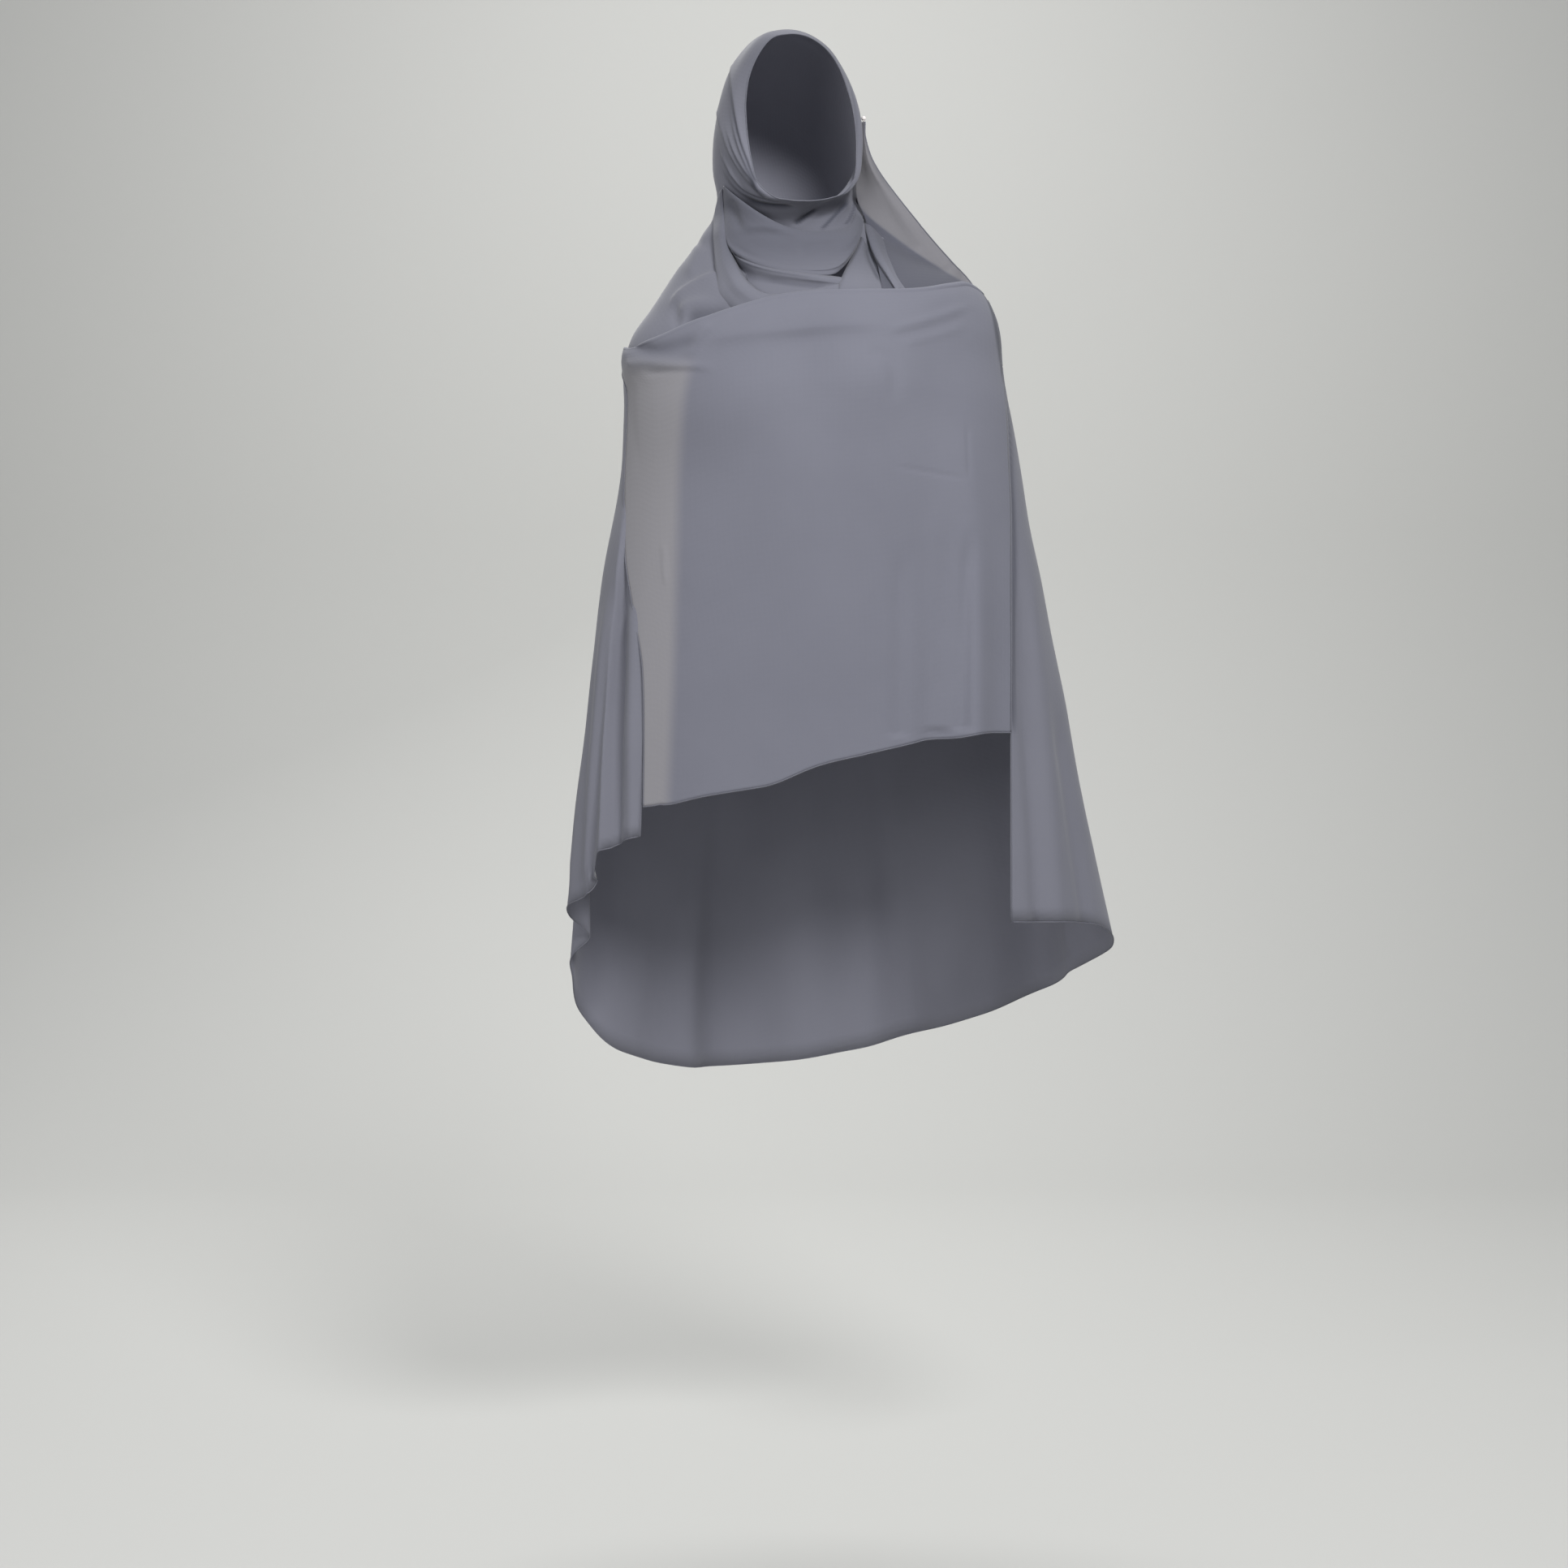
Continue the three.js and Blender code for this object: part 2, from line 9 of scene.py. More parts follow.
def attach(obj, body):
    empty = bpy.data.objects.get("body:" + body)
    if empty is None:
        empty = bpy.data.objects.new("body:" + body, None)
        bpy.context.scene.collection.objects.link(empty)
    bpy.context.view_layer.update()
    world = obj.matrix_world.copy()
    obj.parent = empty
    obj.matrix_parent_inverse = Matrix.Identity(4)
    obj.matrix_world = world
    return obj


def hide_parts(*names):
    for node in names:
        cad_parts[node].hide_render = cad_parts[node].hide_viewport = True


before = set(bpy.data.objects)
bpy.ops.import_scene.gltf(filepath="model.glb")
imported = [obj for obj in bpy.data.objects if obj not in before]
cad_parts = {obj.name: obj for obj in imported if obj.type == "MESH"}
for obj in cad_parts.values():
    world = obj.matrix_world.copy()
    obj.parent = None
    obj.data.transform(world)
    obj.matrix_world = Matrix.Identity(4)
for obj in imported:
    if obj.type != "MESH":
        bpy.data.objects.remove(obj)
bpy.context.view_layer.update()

millimetre = 0.001

# The photograph's view: one pixel is one millimetre in the plane through the origin.
photoView = {
    "size": 1932,
    "distance": 2.7,
    "centreX": -0.019,
    "centreZ": -0.926,
    "sensor": 36.0,
    "facing": (-0.25, 0.1),
}

# Driving sizes in millimetres, the same as the solid model's.
sizes = {
    "headWidth": 178,
    "headDepth": 193,
    "headDrop": 262,
    "chinReach": 85,
    "headShift": -14,
    "headYaw": 12,
    "rimReach": 26,
    "wrapLength": 1300,
    "hemWidth": 677,
    "bodyDepth": 298,
    "panelLength": 610,
    "panelLift": 3.5,
    "rollRadius": 6,
    "swagDepth": 11,
    "clothWall": 1.2,
    "seatGap": 0.4,
    "clothThickness": 0.6,
    "hemRadius": 0.75,
}


def table(columns, rows):
    # One dictionary for each row, with the columns' names as keys.
    return [dict(zip(columns.split(), row)) for row in rows]


hoodRows = table("tilt near reach half shift bow", [
    (0, 0.126, 0.878, 0.372, 0.0, 0.16),
    (5, 0.124, 0.928, 0.428, 0.0, 0.15),
    (12, 0.121, 0.992, 0.46, 0.0, 0.13),
    (21, 0.118, 1.078, 0.483, 0.0, 0.09),
    (31, 0.117, 1.078, 0.49, 0.0, 0.05),
    (41, 0.118, 1.045, 0.5, 0.0, 0.02),
    (51, 0.12, 0.962, 0.502, 0.0, 0.0),
    (61, 0.12, 0.84, 0.506, 0.01, 0.0),
    (71, 0.118, 0.766, 0.562, -0.002, 0.0),
    (81, 0.114, 0.73, 0.66, -0.01, 0.0),
    (90, 0.107, 0.721, 0.728, 0.009, 0.0),
])

# Over which tilts the turn and the sideways shift of the hood fade out.
hoodFade = {
    "yaw": (35, 90),
    "shift": (50, 90),
}

# How the face edge is drawn out from its oval, by angle from its lowest place towards the right.
rimRows = table("around right up", [
    (0, 0, 0),
    (15, 0.002, -0.006),
    (30, 0.014, -0.024),
    (45, 0.042, -0.047),
    (60, 0.063, -0.044),
    (75, 0.048, -0.019),
    (90, 0.033, -0.003),
    (105, 0.015, 0.003),
    (120, 0.001, 0.001),
    (150, -0.004, -0.008),
    (165, -0.003, -0.01),
    (180, 0, -0.002),
    (195, -0.003, 0.015),
    (210, -0.019, 0.037),
    (225, -0.026, 0.028),
    (240, -0.021, 0.012),
    (255, -0.001, 0),
    (270, 0.018, 0),
    (285, 0.019, 0.005),
    (300, 0.001, 0),
    (315, -0.024, -0.023),
    (330, -0.014, -0.024),
    (345, -0.002, -0.009),
    (360, 0, 0),
])

drapeRows = table("drop left right front back", [
    (0.152, 0.143, 0.119, 0.18, 0.349),
    (0.177, 0.16, 0.142, 0.186, 0.349),
    (0.2015, 0.189, 0.194, 0.191, 0.349),
    (0.223, 0.223, 0.265, 0.235, 0.37),
    (0.243, 0.248, 0.32, 0.3, 0.39),
    (0.265, 0.274, 0.348, 0.37, 0.41),
    (0.29, 0.304, 0.362, 0.425, 0.43),
    (0.32, 0.318, 0.367, 0.46, 0.445),
    (0.36, 0.317, 0.382, 0.51, 0.46),
    (0.42, 0.322, 0.402, 0.53, 0.48),
    (0.5, 0.344, 0.429, 0.52, 0.5),
    (0.62, 0.379, 0.478, 0.505, 0.56),
    (0.74, 0.408, 0.521, 0.49, 0.62),
    (0.86, 0.432, 0.571, 0.47, 0.68),
    (1, 0.45, 0.61, 0.46, 0.73),
])

hemRows = table("around drop", [
    (40, 0.838),
    (68, 0.842),
    (82, 0.851),
    (95, 0.866),
    (120, 0.896),
    (140, 0.927),
    (160, 0.958),
    (182, 0.985),
    (210, 1),
    (235, 0.978),
    (250, 0.936),
    (262, 0.897),
    (272, 0.862),
    (282, 0.831),
    (296, 0.812),
    (303, 0.778),
    (315, 0.761),
    (330, 0.757),
])

edgeRows = table("drop right left", [
    (0.2015, 0.115, 0.11),
    (0.235, 0.1, 0.098),
    (0.256, 0.09, 0.09),
    (0.276, 0.1, 0.09),
    (0.32, 0.17, 0.14),
    (0.4, 0.345, 0.19),
    (0.48, 0.366, 0.215),
    (0.62, 0.369, 0.262),
    (0.76, 0.369, 0.281),
    (1, 0.369, 0.285),
])

drapeFolds = table("around spread depth start", [
    (88, 12, 0.02, 0.55),
    (112, 9, -0.04, 0.6),
    (131, 9, 0.035, 0.5),
    (150, 9, -0.045, 0.45),
    (168, 9, 0.045, 0.4),
    (187, 9, -0.05, 0.35),
    (206, 9, 0.05, 0.35),
    (226, 9, -0.045, 0.4),
    (245, 8, 0.035, 0.45),
    (259, 7, -0.035, 0.5),
    (272, 4.5, -0.135, 0.55),
    (283, 5, 0.026, 0.5),
    (297, 5, -0.035, 0.42),
    (308, 5, 0.02, 0.42),
])

panelTopRows = table("around drop roll", [
    (-88, 0.297, 0.1),
    (-70, 0.3025, 0.3),
    (-52, 0.3015, 0.55),
    (-35, 0.289, 0.8),
    (-12, 0.2695, 1),
    (10, 0.2635, 1),
    (32, 0.259, 0.9),
    (48, 0.25, 0.6),
    (62, 0.2435, 0.3),
    (78, 0.247, 0.1),
])

panelEdgeRows = table("down left right", [
    (0, 0.302, 0.313),
    (0.1, 0.307, 0.35),
    (0.25, 0.306, 0.359),
    (0.5, 0.306, 0.367),
    (0.62, 0.29, 0.368),
    (0.75, 0.272, 0.368),
    (1, 0.273, 0.367),
])

panelHemRows = table("across length", [
    (0, 0.92),
    (0.22, 0.91),
    (0.38, 0.91),
    (0.58, 0.893),
    (0.75, 0.879),
    (0.87, 0.894),
    (1, 0.882),
])

panelForms = table("across down wide tall depth", [
    (0.27, 0.21, 0.13, 0.12, 0.035),
    (0.65, 0.2, 0.13, 0.12, 0.04),
    (0.46, 0.2, 0.07, 0.14, -0.02),
    (0.89, 1, 0.05, 0.42, 0.045),
    (0.79, 1, 0.05, 0.42, -0.025),
    (0.4, 1, 0.16, 0.4, 0.02),
])


def cubic(part, span, low, high, lowSlope, highSlope):
    # The cubic between two values that has the given slopes at its ends.
    square = part * part
    cube = square * part
    return (
        (2 * cube - 3 * square + 1) * low
        + (cube - 2 * square + part) * span * lowSlope
        + (3 * square - 2 * cube) * high
        + (cube - square) * span * highSlope
    )


def through(places, values, at):
    # A smooth curve through values at given places: cubic pieces whose slopes are taken from the
    # values on both sides. Values may have several columns.
    places, values, at = (np.asarray(part, dtype=float) for part in (places, values, at))
    flat = values.T
    slopes = np.empty_like(flat)
    slopes[..., 1:-1] = (flat[..., 2:] - flat[..., :-2]) / (places[2:] - places[:-2])
    slopes[..., 0] = (flat[..., 1] - flat[..., 0]) / (places[1] - places[0])
    slopes[..., -1] = (flat[..., -1] - flat[..., -2]) / (places[-1] - places[-2])
    row = np.clip(np.searchsorted(places, at, side="right") - 1, 0, len(places) - 2)
    span = places[row + 1] - places[row]
    part = np.clip((at - places[row]) / span, 0, 1)
    found = cubic(part, span, flat[..., row], flat[..., row + 1], slopes[..., row], slopes[..., row + 1])
    return found if values.ndim == 1 else found.T


def valueAt(rows, key, column, at):
    # The smooth curve through one column of a table.
    return through([row[key] for row in rows], [row[column] for row in rows], at)


def smooth(at, low, high):
    # Nought up to low, one from high on, and an S-shaped rise between them.
    part = np.clip((np.asarray(at, dtype=float) - low) / (high - low), 0, 1)
    return part * part * (3 - 2 * part)


def unit(vectors):
    # The same directions at length one.
    return vectors / np.maximum(np.linalg.norm(vectors, axis=-1, keepdims=True), 1e-9)


def hoodSurface(around, tilt):
    # Rings that turn about a level line at the throat: each is an oval from near to reach, wide
    # by half, bowed back at the cheeks, and the whole hood is turned by its yaw.
    def at(column):
        return valueAt(hoodRows, "tilt", column, tilt)

    near = at("near") * sizes["headDrop"]
    reach = at("reach") * sizes["headDrop"]
    sideways = np.sin(np.radians(around))
    out = (near + reach) / 2 - (reach - near) / 2 * np.cos(np.radians(around))
    x = (at("half") * sideways + at("shift")) * sizes["headWidth"]
    y = out * np.sin(np.radians(tilt)) - sizes["chinReach"] + at("bow") * sizes["headDepth"] * sideways**2
    z = out * np.cos(np.radians(tilt)) - sizes["headDrop"]
    turn = math.radians(sizes["headYaw"]) * (1 - smooth(tilt, *hoodFade["yaw"]))
    turnedX = x * np.cos(turn) - y * np.sin(turn)
    turnedX = turnedX + sizes["headShift"] * (1 - smooth(tilt, *hoodFade["shift"]))
    turnedY = x * np.sin(turn) + y * np.cos(turn)
    drawn = 1 - smooth(tilt, 0, sizes["rimReach"])
    turnedX = turnedX + valueAt(rimRows, "around", "right", around % 360) * sizes["headWidth"] * drawn
    z = z + valueAt(rimRows, "around", "up", around % 360) * sizes["headDrop"] * drawn
    return np.stack(np.broadcast_arrays(turnedX, turnedY, z), axis=-1)


def drapeSection(drop):
    # The level oval at a height: its middle and half its size, sideways and then in depth.
    def at(column):
        return valueAt(drapeRows, "drop", column, drop)

    left = at("left") * sizes["hemWidth"]
    right = at("right") * sizes["hemWidth"]
    front = at("front") * sizes["bodyDepth"]
    back = at("back") * sizes["bodyDepth"]
    return (right - left) / 2, (right + left) / 2, (back - front) / 2, (back + front) / 2


def foldLift(around, drop):
    # Long folds: a bell across each fold times a rise towards the hem.
    around = np.where(around < 0, around + 360, around)
    lift = 0
    for fold in drapeFolds:
        away = (around - fold["around"]) / fold["spread"]
        rise = smooth(drop, fold["start"], 1)
        lift = lift + fold["depth"] * sizes["bodyDepth"] * np.exp(-away * away) * rise
    return lift


def drapeSurface(around, drop, lift):
    # Level ovals, pushed outwards by the lift and by the long folds.
    middleX, halfX, middleY, halfY = drapeSection(drop)
    sideways = np.sin(np.radians(around))
    forwards = np.cos(np.radians(around))
    outX = sideways * halfY
    outY = -forwards * halfX
    length = np.hypot(outX, outY)
    out = lift + foldLift(around, drop)
    x = middleX + halfX * sideways + outX / length * out
    y = middleY - halfY * forwards + outY / length * out
    return np.stack(np.broadcast_arrays(x, y, -drop * sizes["wrapLength"]), axis=-1)


def aroundAt(x, drop):
    # The angle at which the front of that oval is so far sideways.
    middleX, halfX, middleY, halfY = drapeSection(drop)
    return np.degrees(np.arcsin(np.clip((x - middleX) / halfX, -1, 1)))


def gridNormals(points, closed=False):
    # Outward normals of a grid whose rows run down and whose columns run to the viewer's right.
    if closed:
        across = np.roll(points, -1, axis=1) - np.roll(points, 1, axis=1)
    else:
        across = np.gradient(points, axis=1)
    down = np.gradient(points, axis=0)
    return unit(np.cross(down, across))


eyeX, eyeZ, eyeDistance = (photoView[key] / millimetre for key in ("centreX", "centreZ", "distance"))
halfSize = photoView["size"] / 2


def photoPlace(points):
    # Where the photograph's camera sees each point, in the photograph's own pixels.
    nearness = eyeDistance / (eyeDistance + points[..., 1])
    return halfSize + (points[..., 0] - eyeX) * nearness, halfSize - (points[..., 2] - eyeZ) * nearness


def facingCamera(normals):
    # One where the cloth faces the camera, falling to nought where it turns away.
    return smooth(-normals[..., 1], *photoView["facing"])


def curveThrough(path, steps=10):
    # A smooth line through a few places.
    parts = len(path) - 1
    return through(range(parts + 1), path, np.linspace(0, parts, parts * steps + 1))


def awayFrom(path, px, py):
    # Signed distance to a line and how far along it the nearest place is; right of its way is plus.
    best = np.full(px.shape, np.inf)
    signed = np.zeros(px.shape)
    along = np.zeros(px.shape)
    parts = len(path) - 1
    for order in range(parts):
        start = path[order]
        step = path[order + 1] - start
        share = np.clip(((px - start[0]) * step[0] + (py - start[1]) * step[1]) / (step @ step), 0, 1)
        offX = px - start[0] - share * step[0]
        offY = py - start[1] - share * step[1]
        gap = np.hypot(offX, offY)
        closer = gap < best
        side = np.sign(step[0] * offY - step[1] * offX)
        best = np.where(closer, gap, best)
        signed = np.where(closer, gap * np.where(side == 0, 1, side), signed)
        along = np.where(closer, (order + share) / parts, along)
    return signed, along


def crease(depth, wide, path, shade=0, fadeIn=0.25, fadeOut=0.25, long=None):
    # One crease: how far it lifts the cloth, how wide it is, where it runs in the photograph, how
    # dark the shade painted at its foot is, and over which share of its way it starts and ends.
    return {"depth": depth, "wide": wide, "path": path, "shade": shade, "fadeIn": fadeIn, "fadeOut": fadeOut,
            "long": long}


def lap(depth, wide, path, long, **more):
    return crease(depth, wide, path, long=long, **more)


footWidth = 1.3  # how much wider the shade at a lap's foot is than its edge


def creaseLift(points, normals, creases):
    # A plain crease is a bell across its line, and a lap is a step down at the line with a long slope
    # behind it. The depth of its shade comes back as well.
    px, py = photoPlace(points)
    facing = facingCamera(normals)
    lift = np.zeros(px.shape)
    shade = np.zeros(px.shape)
    for line in creases:
        away, along = awayFrom(curveThrough(line["path"]), px, py)
        # past either end the nearest place is the end itself, where the fade is nought
        ends = smooth(along, 0, line["fadeIn"])
        ends = ends * (1 - smooth(along, 1 - line["fadeOut"], 1))
        wide = line["wide"]
        form = foot = np.exp(-((away / wide) ** 2))
        if line["long"]:
            form = np.where(away > 0, np.exp(-np.maximum(away, 0) / line["long"]), form)
            foot = np.exp(-(((away + wide) / wide / footWidth) ** 2))
        lift += line["depth"] * form * ends
        shade += line["shade"] * foot * ends
    return lift * facing, np.clip(shade, 0, 1) * facing


waveRange = (0.6, 1.6)  # the shortest and the longest wave, as shares of the wave size


def waves(points, settings, count=7):
    # Gentle unevenness: a sum of plane waves with seeded directions.
    dice = np.random.default_rng(settings["waveSeed"])
    total = np.zeros(points.shape[:-1])
    for order in range(count):
        way = dice.normal(size=3)
        way /= np.linalg.norm(way)
        length = settings["waveSize"] * dice.uniform(*waveRange)
        total += np.sin(points @ way * (2 * math.pi / length) + dice.uniform(0, 2 * math.pi))
    return total / math.sqrt(count) * settings["waveDepth"]


def placeMesh(name, points, faces):
    # A smoothly shaded piece from points in metres.
    mesh = bpy.data.meshes.new(name)
    mesh.from_pydata(points, [], faces)
    mesh.polygons.foreach_set("use_smooth", np.ones(len(faces), dtype=bool))
    mesh.update()
    piece = bpy.data.objects.new(name, mesh)
    bpy.context.collection.objects.link(piece)
    return piece


def layMesh(name, points, singleLight=0, shade=0, closed=False, keep=None):
    # One mesh from a grid of points in millimetres, with a map in metres of cloth. Two values go
    # with each point for its colour: how much painted light it gets where the cloth lies in one layer,
    # and how much painted shade it gets in folds and other shaded places.
    rows, columns = points.shape[:2]
    index = np.arange(rows * columns).reshape(rows, columns)
    right = np.roll(index, -1, axis=1) if closed else index[:, 1:]
    left = index if closed else index[:, :-1]
    quads = np.stack([left[:-1], left[1:], right[1:], right[:-1]], axis=-1)
    acrossStep = np.linalg.norm(np.roll(points, -1, axis=1) - points, axis=-1)
    downStep = np.linalg.norm(np.diff(points, axis=0, prepend=points[:1]), axis=-1)
    mapU = np.cumsum(acrossStep, axis=1).mean(axis=0, keepdims=True)
    mapV = np.cumsum(downStep, axis=0)
    maps = np.stack([np.broadcast_to(mapU, mapV.shape), -mapV], axis=-1) * millimetre
    if keep is not None:
        quads = quads[keep]
    quads = quads.reshape(-1, 4)
    used = np.zeros(rows * columns, dtype=bool)
    used[quads.ravel()] = True
    quads = (np.cumsum(used) - 1)[quads]
    piece = placeMesh(name, (points.reshape(-1, 3)[used] * millimetre).tolist(), quads.tolist())
    mesh = piece.data
    layer = mesh.uv_layers.new(name="ClothMap")
    layer.data.foreach_set("uv", maps.reshape(-1, 2)[used][quads.ravel()].ravel().astype(np.float32))
    mesh.validate()
    for title, values in (("SingleLight", singleLight), ("FoldShade", shade)):
        tone = mesh.attributes.new(title, "FLOAT", "POINT")
        values = np.broadcast_to(np.asarray(values, dtype=np.float32), (rows, columns))
        tone.data.foreach_set("value", np.ascontiguousarray(values.ravel()[used]))
    return piece


def finishCloth(piece, material):
    # The wall grows inwards, so the laid surface stays the outer side.
    wall = piece.modifiers.new("Wall", "SOLIDIFY")
    wall.thickness = sizes["clothThickness"] * millimetre
    wall.offset = -1
    wall.use_even_offset = False
    piece.data.materials.append(material)


def ringFaces(index):
    # Faces between rings of points, each ring closed on itself.
    turned = np.roll(index, -1, axis=1)
    return np.stack([index[:-1], turned[:-1], turned[1:], index[1:]], axis=-1).reshape(-1, 4)


def layTube(name, path, radius, closed=False, sides=8):
    # A round hem: a circle carried along the edge of the cloth.
    path = np.asarray(path, dtype=float)
    if closed:
        ahead = np.roll(path, -1, axis=0) - np.roll(path, 1, axis=0)
    else:
        ahead = np.gradient(path, axis=0)
    ahead = unit(ahead)
    up = np.broadcast_to(np.array([0.0, 0.0, 1.0]), ahead.shape)
    up = np.where(np.abs(ahead[:, 2:3]) > 0.9, np.array([0.0, 1.0, 0.0]), up)
    side = unit(np.cross(ahead, up))
    over = np.cross(side, ahead)
    turn = np.linspace(0, 2 * math.pi, sides, endpoint=False)
    rim = side[:, None, :] * np.cos(turn)[None, :, None] + over[:, None, :] * np.sin(turn)[None, :, None]
    points = path[:, None, :] + rim * radius
    index = np.arange(len(path) * sides).reshape(-1, sides)
    caps = [] if closed else [index[0][::-1].tolist(), index[-1].tolist()]
    quads = ringFaces(np.concatenate([index, index[:1]]) if closed else index)
    faces = quads[:, ::-1].tolist() + [cap[::-1] for cap in caps]
    return placeMesh(name, (points.reshape(-1, 3) * millimetre).tolist(), faces)


def linearColour(red, green, blue):
    # Screen colour from 0 to 255 to the linear values that shaders take.
    screen = np.array([red, green, blue]) / 255
    linear = np.where(screen <= 0.04045, screen / 12.92, ((screen + 0.055) / 1.055) ** 2.4)
    return (*[float(part) for part in linear], 1.0)


# Chiffon
chiffonLook = {
    "colour": linearColour(134, 135, 147),
    "shade": linearColour(125, 126, 138),
    # the lighter, warmer tone that is painted where light shines through cloth in one layer
    "singleLight": linearColour(158, 156, 160),
    # the dark tone that painted shade mixes in
    "fold": linearColour(78, 80, 92),
    "roughness": 0.75,
    "sheen": 0.25,
    "sheenRoughness": 0.5,
    "specular": 0.25,
    "throughLight": 0.35,
    "opacity": 0.95,
    "sheerOpacity": 0.76,
    "cloudScale": 9,
    "cloudDetail": 3,
    "weavePitch": 0.0011,
    "bandsPerScale": 20,
    "grainScale": 900,
    "grainDetail": 2,
    "grainShare": 0.8,
    "bumpStrength": 0.25,
    "bumpDistance": 0.0002,
}

hemLook = {
    # the hem is darker than the cloth: partly its rolled, doubled cloth, partly painted shade for the edge
    # seen in shadow
    "colour": linearColour(100, 101, 111),
    "darker": 0.7,
    "roughness": 0.7,
    "twistScale": 700,
}

pearlLook = {
    "colour": linearColour(240, 236, 230),
    "cloud": linearColour(214, 204, 206),
    "cloudScale": 420,
    "roughness": 0.22,
    "coat": 0.6,
    "coatRoughness": 0.08,
    "depth": 0.15,
    "depthRadius": 0.002,
}


def newMaterial(name):
    material = bpy.data.materials.new(name)
    material.use_nodes = True
    return material, material.node_tree.nodes, material.node_tree.links


def addNode(nodes, kind, inputs=None, **settings):
    # A shader node with its settings first, and then the values of its inputs.
    node = nodes.new("ShaderNode" + kind)
    for title, value in settings.items():
        setattr(node, title, value)
    for title, value in (inputs or {}).items():
        node.inputs[title].default_value = value
    return node


def addLinks(links, rows):
    # Each row names a node, its output, the node that it feeds and that node's input.
    for source, output, target, socket in rows:
        links.new(source.outputs[output], target.inputs[socket])


def makeChiffon(name, look, opacity):
    material, nodes, links = newMaterial(name)
    nodes.clear()
    output = addNode(nodes, "OutputMaterial")
    body = addNode(nodes, "BsdfPrincipled", {
        "Roughness": look["roughness"],
        "Sheen Weight": look["sheen"],
        "Sheen Roughness": look["sheenRoughness"],
        "Specular IOR Level": look["specular"],
        "Alpha": opacity,
    })
    through = addNode(nodes, "BsdfTranslucent")
    blend = addNode(nodes, "MixShader", {"Fac": look["throughLight"]})
    place = addNode(nodes, "TexCoord")
    cloud = addNode(nodes, "TexNoise", {"Scale": look["cloudScale"], "Detail": look["cloudDetail"]})
    tint = addNode(nodes, "Mix", {"A": look["shade"], "B": look["colour"]}, data_type="RGBA")
    # painted light: cloth in one layer is painted lighter and warmer, as if the room's light shone
    # through it more than through doubled cloth
    layers = addNode(nodes, "Attribute", attribute_name="SingleLight")
    tone = addNode(nodes, "Mix", {"B": look["singleLight"]}, data_type="RGBA")
    # painted shade: the FoldShade value mixes in the dark fold tone in creases, where the cloth is
    # often doubled too, and in other places where shade falls
    folds = addNode(nodes, "Attribute", attribute_name="FoldShade")
    depth = addNode(nodes, "Mix", {"B": look["fold"]}, data_type="RGBA")
    # warp and weft: two wave patterns on the cloth's own map, with crepe grain over them
    bands = 1 / look["weavePitch"] / look["bandsPerScale"]
    weave = addNode(nodes, "TexWave", {"Scale": bands}, bands_direction="X")
    weft = addNode(nodes, "TexWave", {"Scale": bands}, bands_direction="Y")
    grain = addNode(nodes, "TexNoise", {"Scale": look["grainScale"], "Detail": look["grainDetail"]})
    threads = addNode(nodes, "Math", operation="ADD")
    relief = addNode(nodes, "Math", {1: look["grainShare"]}, operation="MULTIPLY_ADD")
    bump = addNode(nodes, "Bump", {"Strength": look["bumpStrength"], "Distance": look["bumpDistance"]})
    addLinks(links, [
        (place, "Object", cloud, "Vector"),
        (cloud, "Fac", tint, "Factor"),
        (layers, "Fac", tone, "Factor"),
        (tint, "Result", tone, "A"),
        (folds, "Fac", depth, "Factor"),
        (tone, "Result", depth, "A"),
        (depth, "Result", body, "Base Color"),
        (depth, "Result", through, "Color"),
        (place, "UV", weave, "Vector"),
        (place, "UV", weft, "Vector"),
        (place, "UV", grain, "Vector"),
        (weave, "Fac", threads, 0),
        (weft, "Fac", threads, 1),
        (grain, "Fac", relief, 0),
        (threads, "Value", relief, 2),
        (relief, "Value", bump, "Height"),
        (bump, "Normal", body, "Normal"),
        (body, "BSDF", blend, 1),
        (through, "BSDF", blend, 2),
        (blend, "Shader", output, "Surface"),
    ])
    return material


def makeClouded(name, first, second, scale, gloss):
    # A plain surface whose colour drifts between two tones.
    material, nodes, links = newMaterial(name)
    body = nodes["Principled BSDF"]
    for title, value in gloss.items():
        body.inputs[title].default_value = value
    place = addNode(nodes, "TexCoord")
    cloud = addNode(nodes, "TexNoise", {"Scale": scale})
    tint = addNode(nodes, "Mix", {"A": first, "B": second}, data_type="RGBA")
    addLinks(links, [
        (place, "Object", cloud, "Vector"),
        (cloud, "Fac", tint, "Factor"),
        (tint, "Result", body, "Base Color"),
    ])
    return material


def makeHemThread(name, look):
    dark = tuple(part * look["darker"] for part in look["colour"][:3]) + (1,)
    return makeClouded(name, dark, look["colour"], look["twistScale"], {"Roughness": look["roughness"]})


def makePearl(name, look):
    return makeClouded(name, look["colour"], look["cloud"], look["cloudScale"], {
        "Roughness": look["roughness"],
        "Coat Weight": look["coat"],
        "Coat Roughness": look["coatRoughness"],
        "Subsurface Weight": look["depth"],
        "Subsurface Radius": (look["depthRadius"],) * 3,
    })


chiffon = makeChiffon("Chiffon", chiffonLook, chiffonLook["opacity"])
chiffonSingle = makeChiffon("ChiffonSingle", chiffonLook, chiffonLook["sheerOpacity"])
hemThread = makeHemThread("HemThread", hemLook)
pearlGloss = makePearl("PearlGloss", pearlLook)

formMap = {
    "left": 680,
    "right": 1260,
    "top": 20,
    "bottom": 900,
    "step": 5,
    "columns": 144,
    "hoodRings": 46,
    "drapeRings": 80,
    "lowest": 0.8,
    "fillRounds": 60,
    "softRounds": 3,
}


